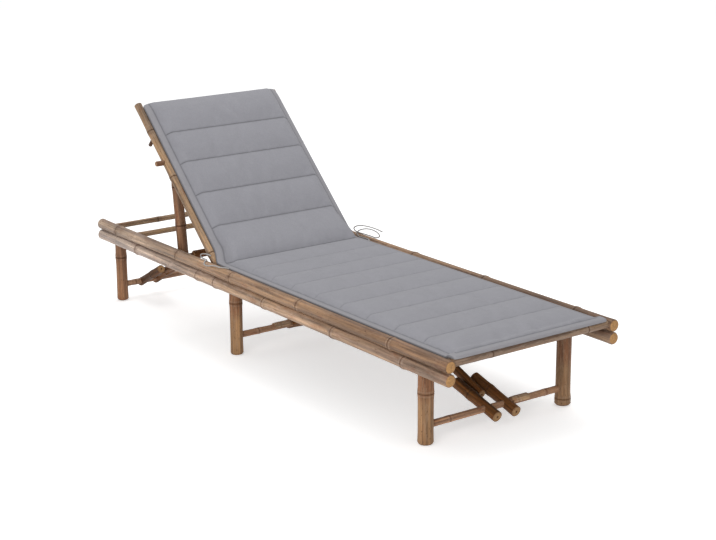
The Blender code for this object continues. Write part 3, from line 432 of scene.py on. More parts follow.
def finishes(context):
    """All the lounger's materials, made once."""
    if bpy.data.materials.get("rail_cane") is None:
        bamboo = context.scene.lounger_bamboo
        rail = tuple(bamboo.rail_colour)
        leg = tuple(bamboo.leg_colour)
        bamboo_finish("rail_cane", rail, scuffs=0.55, lying=1.0)
        # A lighter, paler copy of the rail cane for the lower rails: painted light, as the upper rails
        # shade them.
        bamboo_finish("low_rail_cane", tinted(rail, (1.50, 1.62, 1.80)), scuffs=0.45, lying=0.4)
        bamboo_finish("bar_cane", tinted(rail, (1.12, 1.20, 1.30)), scuffs=0.30)
        bamboo_finish("leg_cane", leg, standing=True, ring=0.55)
        bamboo_finish("prop_cane", tinted(leg, (0.80, 0.70, 0.68)), patches=1.3)
        bamboo_finish("stretcher_cane", tinted(leg, (1.36, 1.32, 1.42)), patches=1.5, ring=0.6)
        bamboo_finish("strut_cane", tuple(bamboo.strut_colour), streak=1.2, patches=1.2, ring=0.5,
                      scuffs=0.12)
        bamboo_finish("back_cane", tuple(bamboo.back_colour), scuffs=0.45)
        bamboo_finish("split_cane", tuple(bamboo.split_colour), streak=1.4, ring=0.5, gloss=0.62)
        end_grain_finish("rail_end", (0.42, 0.225, 0.085), (0.22, 0.11, 0.045))
        end_grain_finish("leg_end", (0.30, 0.165, 0.085), (0.17, 0.085, 0.045))
        end_grain_finish("strut_end", (0.36, 0.20, 0.085), (0.15, 0.072, 0.034))
        plain_wood_finish("turned_pin", (0.30, 0.19, 0.11))
        tape_finish("cotton_tape", tuple(context.scene.lounger_ties.colour))
    return bpy.data.materials


# Modelling by hand

def clear_selection():
    bpy.ops.object.select_all(action="DESELECT")


def only(piece):
    """Select one piece and make it active."""
    clear_selection()
    piece.select_set(True)
    bpy.context.view_layer.objects.active = piece


def apply_modifier(piece, kind, name, **settings):
    """Add a modifier to a piece, set it and apply it."""
    modifier = piece.modifiers.new(name, kind)
    for key, value in settings.items():
        setattr(modifier, key, value)
    only(piece)
    bpy.ops.object.modifier_apply(modifier=modifier.name)


def bed(piece):
    """Apply the piece's place, so that the object sits at the origin."""
    only(piece)
    bpy.ops.object.transform_apply(location=True, rotation=True, scale=True)


def drilled(piece, centre, direction, diameter, length):
    """Bore a round hole right through a piece."""
    clear_selection()
    turn = Vector((0.0, 0.0, 1.0)).rotation_difference(direction).to_euler()
    bpy.ops.mesh.primitive_cylinder_add(vertices=32, radius=diameter / 2, depth=length,
                                        location=centre, rotation=turn)
    cut_with(piece, bpy.context.object)


def cut_with(piece, cutter):
    """Take a cutter's shape out of a piece and delete the cutter."""
    apply_modifier(piece, "BOOLEAN", "cut", operation="DIFFERENCE", solver="EXACT", object=cutter)
    bpy.data.objects.remove(cutter, do_unlink=True)


def end_rings(kind, radius, round_over):
    """(depth, radius) of the rings at one end of a cane, from its middle out to its skin.

    A solid end is rounded over; a hollow end has a small pith hole.
    """
    if kind == "hollow":
        hole = 0.16 * radius
        return [(0.006, 0.7 * hole), (0.0004, hole), (0.0, 1.3 * hole),
                (0.0, radius - 0.5 * round_over), (0.4 * round_over, radius)]
    return [(0.0, 0.45 * radius), (0.10 * round_over, radius - round_over),
            (0.35 * round_over, radius - 0.4 * round_over), (round_over, radius)]


# How far each ring of a node lies from its scar, and how far out of the cane in node swells.
# WAIST is the same for the middle between two nodes.
NODE_PROFILE = (
    (-0.014, -0.45), (-0.0065, 0.40), (-0.0022, 1.00), (-0.0008, 0.60), (0.0, -0.50),
    (0.0009, 0.30), (0.0030, 0.90), (0.0075, 0.45), (0.017, -0.50),
)
WAIST = -0.8
WAIST_FROM_NODE = 0.034
SHORTEST_WAIST = 0.09
LEAST_RING_STEP = 0.0003
FLARE_HEIGHT = 0.045


def cane_rings(length, radius, nodes, swell, ends, flare=0.0):
    """(height, radius) of each ring of a cane, from its lower end to its upper end.

    flare widens the foot.
    """
    round_over = 0.32 * radius
    heights = sorted(share * length for share in nodes)
    middle = [(height + step, radius + out * swell) for height in heights for step, out in NODE_PROFILE]
    stops = [0.0] + heights + [length]
    for low, high in zip(stops, stops[1:]):
        if high - low > SHORTEST_WAIST:
            beside = radius + (WAIST + 0.1) * swell
            middle += [(low + WAIST_FROM_NODE, beside), ((low + high) / 2, radius + WAIST * swell),
                       (high - WAIST_FROM_NODE, beside)]
    rings = end_rings(ends[0], radius, round_over)
    if flare:
        rings[-1] = (round_over, radius + 0.8 * flare)
    last = rings[-1][0]
    for height, size in sorted(middle):
        if last + LEAST_RING_STEP < height < length - round_over - LEAST_RING_STEP:
            rings.append((height, size + flare * max(0.0, 1.0 - height / FLARE_HEIGHT) ** 2))
            last = height
    top = end_rings(ends[1], radius, round_over)
    return rings + [(length - depth, size) for depth, size in reversed(top)]


def raised(name, rings, sides):
    """Extrude a circle up through a list of (height, radius) rings."""
    clear_selection()
    height, size = rings[0]
    bpy.ops.mesh.primitive_circle_add(vertices=sides, radius=size, fill_type="NGON",
                                      location=(0.0, 0.0, height))
    piece = bpy.context.object
    piece.name = name
    bpy.ops.object.mode_set(mode="EDIT")
    bpy.ops.mesh.select_all(action="SELECT")
    for ring_height, ring_size in rings[1:]:
        step = {"value": (0.0, 0.0, ring_height - height)}
        bpy.ops.mesh.extrude_region_move(TRANSFORM_OT_translate=step)
        share = ring_size / size
        bpy.ops.transform.resize(value=(share, share, 1.0), center_override=(0.0, 0.0, ring_height))
        height = ring_height
        size = ring_size
    bpy.ops.mesh.select_all(action="SELECT")
    bpy.ops.mesh.normals_make_consistent(inside=False)
    bpy.ops.object.mode_set(mode="OBJECT")
    bed(piece)
    return piece


def skin_texture(name, size):
    """A cloud texture that the canes' skins are displaced by."""
    texture = bpy.data.textures.get(name)
    if texture is None:
        texture = bpy.data.textures.new(name, "CLOUDS")
        texture.noise_scale = size
        texture.noise_depth = 1
    return texture


def smooth_edges(piece, degrees):
    """Shade a piece smooth, and leave edges sharper than an angle hard."""
    only(piece)
    bpy.ops.object.shade_smooth_by_angle(angle=math.radians(degrees))


def declare(piece, body, node):
    """Put a finished piece on the body it rides on, and hide the CAD node that it stands for."""
    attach(piece, body)
    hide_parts(node)
    return piece


def trim(piece, place, normal):
    """Cut off all of a piece that lies behind a plane, and close the cut."""
    only(piece)
    bpy.ops.object.mode_set(mode="EDIT")
    bpy.ops.mesh.select_all(action="SELECT")
    bpy.ops.mesh.bisect(plane_co=place, plane_no=normal, use_fill=True, clear_inner=True)
    bpy.ops.object.mode_set(mode="OBJECT")


# How far a piece's tone moves its skin's pattern, so that no two canes are alike
TONE_STEP = Vector((3.1, 1.7, 0.0))
END_DEPTH = 0.0065
THINNEST_CROOKED = 0.02


def write_attributes(piece, place, length, radius, nodes, tone):
    """Store where each point lies on its cane, for the materials."""
    mesh = piece.data
    back = place.inverted()
    heights = [share * length for share in nodes]
    local = [back @ vertex.co for vertex in mesh.vertices]
    near = [min([abs(p.z - height) for height in heights] + [0.05]) for p in local]
    ends = [min(max(p.z, 0.0), max(length - p.z, 0.0), 0.05) for p in local]
    axis = [min(1.0, math.hypot(p.x, p.y) / radius) for p in local]
    vectors = mesh.attributes.new("cane", "FLOAT_VECTOR", "POINT")
    vectors.data.foreach_set("vector", [c for p in local for c in p + tone * TONE_STEP])
    for name, values in (("from_node", near), ("from_end", ends), ("from_axis", axis),
                         ("cane_tone", [tone] * len(local))):
        attribute = mesh.attributes.new(name, "FLOAT", "POINT")
        attribute.data.foreach_set("value", values)


def end_faces(piece, place, length):
    """Give the sawn ends the second material slot."""
    axis = (place.to_3x3() @ Vector((0.0, 0.0, 1.0))).normalized()
    back = place.inverted()
    for face in piece.data.polygons:
        height = (back @ face.center).z
        at_end = height < END_DEPTH or height > length - END_DEPTH
        if at_end and abs(face.normal.dot(axis)) > 0.6:
            face.material_index = 1


def tone_of(name):
    """A steady number from 0 to 1 for a piece's name."""
    return (sum(ord(letter) * (3 + index * 7) for index, letter in enumerate(name)) % 97) / 96.0


def cane(node, start, end, diameter, nodes, skin, end_skin, body, slot, ends=("solid", "solid"),
         bores=(), swell=None, name=None, sides=28, flare=0.0, knuckles=None):
    """One bamboo cane from start to end, which takes a CAD node's place.

    bores are (centre, direction, diameter) of the holes right through it. knuckles is the
    (side, size) by which its nodes stand out further.
    """
    start = Vector(start)
    end = Vector(end)
    length = (end - start).length
    radius = diameter / 2
    settings = bpy.context.scene.lounger_bamboo
    swell = settings.node_swell if swell is None else swell
    rings = cane_rings(length, radius, nodes, swell, ends, flare)
    piece = raised(name or node + "_cane", rings, sides)
    turn = Vector((0.0, 0.0, 1.0)).rotation_difference(end - start)
    place = Matrix.Translation(start) @ turn.to_matrix().to_4x4()
    piece.matrix_world = place
    bed(piece)
    if settings.crookedness > 0.0 and diameter > THINNEST_CROOKED:
        apply_modifier(piece, "DISPLACE", "crooked", texture=skin_texture("cane_wave", 0.05),
                       strength=settings.crookedness, mid_level=0.5, texture_coords="LOCAL")
    if knuckles:
        along = (end - start).normalized()
        knuckled(piece, start, along, [share * length for share in nodes], *knuckles)
    for centre, direction, bore in bores:
        drilled(piece, centre, direction, bore, 3 * diameter)
    materials = finishes(bpy.context)
    piece.data.materials.append(materials[skin])
    piece.data.materials.append(materials[end_skin])
    end_faces(piece, place, length)
    write_attributes(piece, place, length, radius, nodes, tone_of(piece.name))
    smooth_edges(piece, 38)
    return declare(piece, body, node)


def twin(piece, step, node, body):
    """A copy of a finished piece with its own mesh, moved by a step and toned on its own."""
    only(piece)
    bpy.ops.object.duplicate(linked=False)
    copy = bpy.context.object
    copy.name = node + "_copy"
    copy.matrix_world = Matrix.Translation(step)
    bed(copy)
    shift = tone_of(node) - tone_of(piece.name)
    for item in copy.data.attributes["cane"].data:
        item.vector = Vector(item.vector) + shift * TONE_STEP
    for item in copy.data.attributes["cane_tone"].data:
        item.value += shift
    return declare(copy, body, node)


def knuckled(piece, start, along, heights, side, size):
    """Swell the nodes further on one side, where nothing passes close by."""
    for vertex in piece.data.vertices:
        offset = vertex.co - start
        height = offset.dot(along)
        outward = (offset - height * along).normalized()
        facing = max(0.0, outward.dot(side))
        near = min(abs(height - place) for place in heights)
        vertex.co += size * facing * (1.0 - smooth_step(near / 0.018)) * outward


def back_point(x, along, offset):
    """A point of the backrest: x, its distance from the hinge, and its height over the rails."""
    return Vector((x, 0.0, 0.0)) + HINGE + along * BACK_ALONG + offset * BACK_NORMAL


PIVOT = back_point(0.0, PIVOT_FROM_HINGE, 0.0)


# Ties, the only loose cords

def smooth_route(points, steps=5):
    """Points along a smooth curve through the given ones."""
    ends = [2 * points[0] - points[1]] + points + [2 * points[-1] - points[-2]]
    route = []
    for a, b, c, d in zip(ends, ends[1:], ends[2:], ends[3:]):
        for i in range(steps):
            t = i / steps
            bend = (2 * a - 5 * b + 4 * c - d) * t * t + (3 * b - a - 3 * c + d) * t ** 3
            route.append(0.5 * (2 * b + (c - a) * t + bend))
    route.append(points[-1])
    return route


def on_rail(side, past, turn, diameter):
    """A point of a tie on an upper rail, past the crease, turned in degrees from the top outwards."""
    reach = RAIL_RADIUS + diameter / 2 + 2 * GAP
    angle = math.radians(turn)
    x = side * (RAIL_X + reach * math.sin(angle))
    return Vector((x, CREASE_Y + past, UPPER_RAIL_Z + reach * math.cos(angle)))


def tie(name, node, points, diameter):
    """A rolled cotton tie along a route."""
    route = smooth_route([Vector(point) for point in points])
    curve = bpy.data.curves.new(name, "CURVE")
    curve.dimensions = "3D"
    curve.bevel_depth = diameter / 2
    curve.bevel_resolution = 4
    curve.use_fill_caps = True
    spline = curve.splines.new("POLY")
    spline.points.add(len(route) - 1)
    for point, place in zip(spline.points, route):
        point.co = (*place, 1.0)
    piece = bpy.data.objects.new(name, curve)
    bpy.context.scene.collection.objects.link(piece)
    piece.data.materials.append(finishes(bpy.context)["cotton_tape"])
    length = sum((b - a).length for a, b in zip(route, route[1:]))
    declare(piece, "frame", node)


class LOUNGER_OT_ties(bpy.types.Operator):
    """Bend the two cotton ties round the upper rails beside the crease."""

    bl_idname = "lounger.ties"
    bl_label = "Ties"

    def execute(self, context):
        size = context.scene.lounger_ties.diameter
        corner = Vector((-RAIL_INNER_X, CREASE_Y, FRAME_HEIGHT))
        turns = ((-0.040, -22), (-0.030, -6), (-0.019, 12), (-0.004, 22), (0.013, 24), (0.030, 33),
                 (0.044, 46), (0.055, 53), (0.066, 53), (0.075, 45), (0.081, 28), (0.084, 8),
                 (0.090, -14), (0.108, -30), (0.130, -36))
        loop = ((-0.0065, 0.143, 0.0045), (-0.0050, 0.137, 0.0110), (-0.0040, 0.118, 0.0155),
                (-0.0032, 0.100, 0.0170), (-0.0030, 0.084, 0.0160))
        route = [on_rail(-1, past, turn, size) for past, turn in turns]
        tie("right_cotton_tie", "right_tie", route + [corner + Vector(step) for step in loop], size)

        corner = Vector((RAIL_INNER_X, CREASE_Y, FRAME_HEIGHT))
        start = ((-0.0125, -0.032, -0.0015), (-0.0055, -0.018, -0.0025))
        loop = ((0.0055, 0.068, 0.0045), (0.0095, 0.061, 0.0145), (0.0140, 0.043, 0.0225),
                (0.0180, 0.021, 0.0270), (0.0220, -0.002, 0.0270), (0.0260, -0.022, 0.0220),
                (0.0290, -0.032, 0.0130), (0.0305, -0.025, 0.0050))
        bow = ((0.0185, 0.098, 0.0065), (0.0180, 0.102, 0.0145), (0.0195, 0.090, 0.0230),
               (0.0220, 0.068, 0.0290), (0.0250, 0.040, 0.0320), (0.0285, 0.010, 0.0320),
               (0.0320, -0.017, 0.0300), (0.0350, -0.040, 0.0260))
        route = [corner + Vector(step) for step in start]
        route += [on_rail(1, past, turn, size) for past, turn in ((0.003, -42), (0.033, -44), (0.055, -44))]
        route += [corner + Vector(step) for step in loop]
        crossing = ((-0.008, 31), (0.018, 24), (0.050, 10), (0.080, 4))
        route += [on_rail(1, past, turn, size) for past, turn in crossing]
        tie("left_cotton_tie", "left_tie", route + [corner + Vector(step) for step in bow], size)
        return {"FINISHED"}


# The frame's canes. The values named "in" say how far a piece reaches into what carries it

KNUCKLE = 0.0016
BAR_IN_RAIL = 0.004
PIN_IN_RAIL = 0.010
PIN_PAST_LEG = 0.004
LEG_FROM_RAIL = 0.001
STRETCHER_IN_LEG = 0.003
SLEEVE_LENGTH = 0.062
SLEEVE_X = 0.087
STRUT_BORE = 0.0222
STRUT_PIN_DIAMETER = 0.008
STRUT_PIN_PLAY = 0.0009
LINK_FROM_AXLE = 0.010
COLLAR_DIAMETER = 0.028
COLLAR_REACH = 0.044
COLLAR_BORE = 0.0167


class LOUNGER_OT_side_rails(bpy.types.Operator):
    """Make the four long canes at the sides."""

    bl_idname = "lounger.side_rails"
    bl_label = "Side rails"

    def execute(self, context):
        rails = (
            ("right_upper_rail", -1, UPPER_RAIL_Z, (0.13, 0.36, 0.55, 0.72, 0.93), "rail_cane"),
            ("right_lower_rail", -1, LOWER_RAIL_Z, (0.10, 0.27, 0.455, 0.60, 0.655, 0.86),
             "low_rail_cane"),
            ("left_upper_rail", 1, UPPER_RAIL_Z, (0.08, 0.29, 0.47, 0.66, 0.88), "rail_cane"),
            ("left_lower_rail", 1, LOWER_RAIL_Z, (0.15, 0.34, 0.52, 0.71, 0.90), "low_rail_cane"),
        )
        for node, side, z, nodes, skin in rails:
            x = side * RAIL_X
            cane(node, (x, -HALF_LENGTH, z), (x, HALF_LENGTH, z), 2 * RAIL_RADIUS, nodes, skin,
                 "rail_end", "frame", "rail_bamboo", sides=36, knuckles=(side * ACROSS, KNUCKLE))
        return {"FINISHED"}


class LOUNGER_OT_cross_bars(bpy.types.Operator):
    """Make the foot bar, the head bars, the bearers, the hinge pole and the axles."""

    bl_idname = "lounger.cross_bars"
    bl_label = "Cross bars"

    def execute(self, context):
        reach = RAIL_INNER_X + BAR_IN_RAIL
        bars = (
            ("foot_bar", -0.982, 0.286, 0.024, (0.24, 0.86), "bar_cane", "rail_bamboo"),
            ("head_bar_outer", 0.930, UPPER_RAIL_Z, 0.020, (0.30, 0.71), "back_cane", "back_bamboo"),
            ("head_bar_inner", 0.770, UPPER_RAIL_Z, 0.020, (0.42, 0.80), "back_cane", "back_bamboo"),
            ("seat_bearer_1", -0.905, 0.270, 0.020, (0.5,), "back_cane", "back_bamboo"),
            ("hinge_pole", HINGE.y, HINGE.z, 0.015, (0.35,), "back_cane", "back_bamboo"),
            ("head_axle", AXLE_Y["head"], LOWER_RAIL_Z, 0.016, (0.61,), "strut_cane", "strut_bamboo"),
            ("mid_axle", AXLE_Y["mid"], LOWER_RAIL_Z, 0.016, (0.30,), "strut_cane", "strut_bamboo"),
            ("foot_axle", AXLE_Y["foot"], LOWER_RAIL_Z, 0.016, (0.70,), "strut_cane", "strut_bamboo"),
        )
        for node, y, z, diameter, nodes, skin, slot in bars:
            bar = cane(node, (-reach, y, z), (reach, y, z), diameter, nodes, skin, "leg_end", "frame",
                       slot, swell=0.0005, sides=24)
            if node == "seat_bearer_1":
                for number, step in enumerate((0.465, 1.110), 2):
                    twin(bar, Vector((0.0, step, 0.0)), f"seat_bearer_{number}", "frame")
        return {"FINISHED"}


def dowel(node, start, end, diameter, body, slot, name=None):
    """A turned peg with no nodes."""
    return cane(node, start, end, diameter, (), "turned_pin", "leg_end", body, slot, name=name,
                sides=20, swell=0.0)


class LOUNGER_OT_legs(bpy.types.Operator):
    """Make the three leg pairs with their stretchers, sleeves and pins."""

    bl_idname = "lounger.legs"
    bl_label = "Legs"

    def execute(self, context):
        pairs = (
            ("foot", 0.047, (0.59, 0.09), (0.0, 0.0018), (0.13, 0.89), "leg_cane"),
            ("mid", 0.043, (0.68, 0.60), (0.0, 0.0), (0.13, 0.89), "leg_cane"),
            ("head", 0.041, (0.62, 0.70), (0.0, 0.0), (0.07, 0.81), "prop_cane"),
        )
        for pair, diameter, leg_nodes, flares, stretcher_nodes, skin in pairs:
            y, stretcher_z = STRETCHERS[pair]
            x = RAIL_INNER_X - LEG_FROM_RAIL - diameter / 2
            body = pair + "_legs"
            for side, label, node, flare in zip((-1, 1), ("right", "left"), leg_nodes, flares):
                bore = ((side * x, y, LOWER_RAIL_Z), ACROSS, PIN_DIAMETER + 2 * GAP)
                top = LOWER_RAIL_Z + RAIL_RADIUS
                cane(f"{pair}_leg_{label}", (side * x, y, 0.0), (side * x, y, top),
                     diameter, (node,), skin, "leg_end", body, "leg_bamboo", bores=(bore,),
                     sides=36, flare=flare)
            inner = x - diameter / 2 - PIN_PAST_LEG
            outer = RAIL_INNER_X + PIN_IN_RAIL
            pin = dowel(f"{pair}_leg_pin_right", (-outer, y, LOWER_RAIL_Z), (-inner, y, LOWER_RAIL_Z),
                        PIN_DIAMETER, "frame", "pin_wood")
            twin(pin, (inner + outer) * ACROSS, f"{pair}_leg_pin_left", "frame")
            reach = x - diameter / 2 + STRETCHER_IN_LEG
            cane(f"{pair}_stretcher", (-reach, y, stretcher_z), (reach, y, stretcher_z),
                 STRETCHER_DIAMETER, stretcher_nodes, "stretcher_cane", "leg_end", body, "leg_bamboo",
                 swell=0.0006, sides=24)
        split = sleeve("foot_stretcher_sleeve", SLEEVE_X, *STRETCHERS["foot"], "foot_legs")
        twin(split, Vector((-0.175, 0.995, 0.008)), "mid_stretcher_sleeve", "mid_legs")
        return {"FINISHED"}


def sleeve(node, x, y, z, body):
    """Half a split cane lying on a stretcher."""
    length = SLEEVE_LENGTH
    inner = STRETCHER_DIAMETER / 2 + GAP
    skin = ((0.0, 0.003), (0.0005, 0.0036), (0.018, 0.0040), (0.0205, 0.0046), (0.023, 0.0040),
            (length - 0.0005, 0.0037), (length, 0.0031))
    piece = raised(node + "_split", [(height, inner + wall) for height, wall in skin], 32)
    place = Matrix.Translation((x - length / 2, y, z)) @ Matrix.Rotation(math.pi / 2, 4, "Y")
    piece.matrix_world = place
    bed(piece)
    drilled(piece, (x, y, z), ACROSS, 2 * inner, 2 * length)
    trim(piece, (x, y, z), (0.0, 0.0, 1.0))
    piece.data.materials.append(finishes(bpy.context)["split_cane"])
    write_attributes(piece, place, length, inner + 0.004, (0.34,), tone_of(node))
    smooth_edges(piece, 35)
    return declare(piece, body, node)


class LOUNGER_OT_struts(bpy.types.Operator):
    """Make the three folding struts: two outer canes, a link, its collar and its pin."""

    bl_idname = "lounger.struts"
    bl_label = "Struts"

    def execute(self, context):
        struts = (
            ("foot", 0.0, 0.072, 0.034, 0.029, 0.050, 0.040, 0.043, (-0.73051, 0.08518)),
            ("mid", 0.0, 0.070, 0.032, 0.028, 0.040, 0.040, 0.040, (0.05737, 0.10099)),
            ("head", -0.148, 0.062, 0.030, 0.025, 0.022, 0.045, 0.040, (0.83958, 0.11124)),
        )
        for name, x, spread, arm, link, tail, head, link_tail, pin in struts:
            stretcher = Vector((0.0, *STRETCHERS[name]))
            middle = Vector((x, *pin))
            along = (Vector((0.0, *pin)) - stretcher).normalized()
            offset = (x - spread / 2) * ACROSS
            bore = (stretcher + offset, ACROSS, STRUT_BORE)
            right = cane(name + "_strut_right", stretcher + offset - tail * along,
                         Vector((0.0, *pin)) + offset + head * along, arm, (0.62,), "strut_cane",
                         "strut_end", name + "_strut", "strut_bamboo", ends=("hollow", "hollow"),
                         bores=(bore,))
            twin(right, spread * ACROSS, name + "_strut_left", name + "_strut")
            axle = Vector((x, AXLE_Y[name], LOWER_RAIL_Z))
            towards = (axle - middle).normalized()
            body = name + "_link"
            cane(body, middle - link_tail * towards, axle - LINK_FROM_AXLE * towards, link, (0.45,),
                 "strut_cane", "strut_end", body, "strut_bamboo", ends=("hollow", "solid"))
            bore = (axle, ACROSS, COLLAR_BORE)
            collar = COLLAR_REACH * ACROSS
            cane(body, axle - collar, axle + collar, COLLAR_DIAMETER, (), "strut_cane",
                 "strut_end", body, "strut_bamboo", bores=(bore,), name=name + "_link_collar")
            pin_reach = ((spread - arm) / 2 - STRUT_PIN_PLAY) * ACROSS
            dowel(body, middle - pin_reach, middle + pin_reach, STRUT_PIN_DIAMETER, body,
                  "strut_bamboo", name=name + "_link_pin")
        return {"FINISHED"}


# The backrest: places along its rails, from the hinge. The left rail ends behind the pad
BACK_FOOT = -0.022
BACK_HEAD = {"right": 0.680, "left": 0.667}
PEG_FROM_HINGE = 0.536
THIN_POLE_DIAMETER = 0.018
POLE_PAST_RAIL = 0.026
BAR_IN_BACK_RAIL = 0.003
# The props: where they hang and stand, and how far the planed flats lie from their middle
PROP_X = 0.2395
PROP_DIAMETER = 0.037
PROP_FOOT = Vector((0.0, 0.530, 0.2361))
PROP_FLAT = 0.0125
PROP_CHAMFER = 0.009
AXLE_SEAT = 0.0083


class LOUNGER_OT_back_frame(bpy.types.Operator):
    """Make the backrest's canes, its pivot pole, its peg and the two props."""

    bl_idname = "lounger.back_frame"
    bl_label = "Back frame"

    def execute(self, context):
        for side, label, nodes in ((-1, "right", (0.10, 0.55, 0.83)), (1, "left", (0.22, 0.64))):
            x = side * BACK_RAIL_X
            bores = ((HINGE + x * ACROSS, ACROSS, HINGE_BORE), (PIVOT + x * ACROSS, ACROSS, PIVOT_BORE))
            cane(f"back_rail_{label}", back_point(x, BACK_FOOT, 0), back_point(x, BACK_HEAD[label], 0),
                 2 * BACK_RAIL_RADIUS, nodes, "back_cane", "leg_end", "backrest", "back_bamboo",
                 bores=bores, ends=("solid", "hollow"))
        right_end = PIVOT - (RAIL_INNER_X + POLE_PAST_RAIL) * ACROSS
        cane("prop_pivot_pole", right_end, PIVOT + RAIL_INNER_X * ACROSS, THIN_POLE_DIAMETER,
             (0.33, 0.68), "prop_cane", "leg_end", "backrest", "leg_bamboo", swell=0.0003, sides=24)
        reach = BACK_INNER_X + BAR_IN_BACK_RAIL
        for node, along in (("back_lower_bar", 0.060), ("back_top_bar", 0.655)):
            cane(node, back_point(-reach, along, 0), back_point(reach, along, 0), THIN_POLE_DIAMETER,
                 (0.4, 0.78), "back_cane", "leg_end", "backrest", "back_bamboo", swell=0.0003,
                 sides=24)
        peg = [back_point(-BACK_RAIL_X, PEG_FROM_HINGE, offset) for offset in (-0.0125, -0.0435)]
        cane("back_peg", *peg, 0.013, (), "strut_cane", "leg_end", "backrest", "leg_bamboo", sides=20)
        self.props()
        return {"FINISHED"}

    def props(self):
        """The two props: flattened where they hang and bevelled where they stand on the axle."""
        offset = -PROP_X * ACROSS
        towards = (PROP_FOOT - PIVOT).normalized()
        front = Vector((0.0, towards.z, -towards.y))
        hung = PIVOT + offset
        piece = cane("prop_right", PROP_FOOT + offset, hung - PROP_FLAT * towards, PROP_DIAMETER,
                     (0.34, 0.72), "prop_cane", "leg_end", "prop", "leg_bamboo",
                     bores=((hung, ACROSS, PIVOT_BORE),))
        slanted = Vector((0.0, math.sqrt(0.5), -math.sqrt(0.5)))
        seat = Vector((0.0, AXLE_Y["head"], LOWER_RAIL_Z)) - AXLE_SEAT * slanted
        self.planed(piece, hung + PROP_FLAT * front, front, (0.08, 0.124))
        self.planed(piece, hung + PROP_CHAMFER * (front - towards), front - towards, (0.08, 0.05))
        self.planed(piece, seat + offset, slanted, (0.08, 0.08))
        twin(piece, -2 * offset, "prop_left", "prop")

    def planed(self, piece, place, normal, size):
        """Plane a flat on a prop: take off all that lies past a place, over a width and a length."""
        normal = normal.normalized()
        clear_selection()
        depth = 0.05
        up = normal.cross(ACROSS).normalized()
        turn = Matrix((ACROSS, up, ACROSS.cross(up))).transposed().to_4x4()
        bpy.ops.mesh.primitive_cube_add(size=1.0)
        cutter = bpy.context.object
        centre = place + normal * depth / 2
        cutter.matrix_world = Matrix.Translation(centre) @ turn @ Matrix.Diagonal((*size, depth, 1.0))
        cut_with(piece, cutter)


class LOUNGER_OT_laths(bpy.types.Operator):
    """Make the split laths under the pad."""

    bl_idname = "lounger.laths"
    bl_label = "Laths"

    def execute(self, context):
        seat = self.lath("seat_lath_1", Vector((-0.200, -0.921, 0.2803)), Vector((0.0, 1.0, 0.0)),
                         Vector((0.0, 0.0, 1.0)), 1.142, 0.007, "frame")
        for number, step in enumerate((0.120, 0.280, 0.400), 2):
            twin(seat, step * ACROSS, f"seat_lath_{number}", "frame")
        back = self.lath("back_lath_1", back_point(-0.165, 0.048, 0.0093), BACK_ALONG, BACK_NORMAL,
                         0.619, 0.006, "backrest")
        for number, step in enumerate((0.110, 0.220, 0.330), 2):
            twin(back, step * ACROSS, f"back_lath_{number}", "backrest")
        return {"FINISHED"}

    def lath(self, node, start, along, up, length, thickness, body):
        """A strip split off a wide cane: a low arch over a flat underside."""
        half = 0.017
        edge = 0.002
        rise = thickness - edge
        radius = (half * half + rise * rise) / (2 * rise)
        clear_selection()
        bpy.ops.mesh.primitive_cylinder_add(vertices=96, radius=radius, depth=length,
                                            location=(0.0, 0.0, length / 2))
        piece = bpy.context.object
        piece.name = node + "_split"
        nodes = (0.21, 0.55, 0.86)
        floor_y = radius - thickness
        trim(piece, (0.0, floor_y, 0.0), (0.0, 1.0, 0.0))
        trim(piece, (half, 0.0, 0.0), (-1.0, 0.0, 0.0))
        trim(piece, (-half, 0.0, 0.0), (1.0, 0.0, 0.0))
        bpy.ops.object.mode_set(mode="EDIT")
        for share in nodes:
            for step in (-0.012, -0.002, 0.0, 0.002, 0.012):
                bpy.ops.mesh.select_all(action="SELECT")
                bpy.ops.mesh.bisect(plane_co=(0.0, 0.0, share * length + step),
                                    plane_no=(0.0, 0.0, 1.0))
        bpy.ops.object.mode_set(mode="OBJECT")
        bed(piece)
        turn = Matrix((up.cross(along), up, along)).transposed().to_4x4()
        place = Matrix.Translation(start - floor_y * up) @ turn
        piece.matrix_world = place
        bed(piece)
        piece.data.materials.append(finishes(bpy.context)["split_cane"])
        write_attributes(piece, place, length, radius, nodes, tone_of(node))
        smooth_edges(piece, 30)
        return declare(piece, body, node)


# The pad

# Seams across it, from the foot edge and, on the back, from the hinge
SEAT_SEAMS = (0.170, 0.305, 0.440, 0.573, 0.703, 0.831, 0.943, 1.060, 1.180)
BACK_SEAMS = (0.128, 0.264, 0.396, 0.522)
FOOT_Y = -0.998
BACK_TOP = 0.668
CORNER = 0.016
TOP_THINNED = 0.045
MOST_SWELL = 0.009
# Its middle line on the seat and on the back, and how it narrows past the crease
PAD_SHIFT = -0.0045
BACK_SHIFT = 0.006
BACK_NARROWING = 0.031
TAPER = 0.090
# How its border lies against the upper rails and on the back's rails and the foot bar
SINK = 0.0010
EDGE_RISE = 0.028
BORDER_INSIDE_X = 0.236
ONTO_LEFT_RAIL = 0.036
FOOT_BAR_TOP = 0.286 + 0.012 + 0.0009
FOOT_BAR_FROM = -0.948
FOOT_BAR_RISE = 0.020
# Its fold at the crease. The border starts to fold further back and more sharply than the middle
BEND = 0.170
CHANGEOVER = 0.014
FOLD_BACK = 0.032
THIN_FROM = 0.006
THIN_TO = 0.044
BORDER_SLIDE = 0.55
BORDER_LOWER = 0.72
BORDER_SHORTER = 0.5


def smooth_step(value):
    """0 below 0, 1 above 1, and a smooth rise between."""
    value = min(max(value, 0.0), 1.0)
    return value * value * (3.0 - 2.0 * value)


def crown(distance, seams):
    """0 on a seam, 1 along the middle of a channel."""
    for low, high in zip(seams, seams[1:]):
        if low <= distance <= high:
            share = (distance - low) / (high - low)
            return math.sqrt(max(0.0, 1.0 - abs(2.0 * share - 1.0) ** 2.6))
    return 0.0


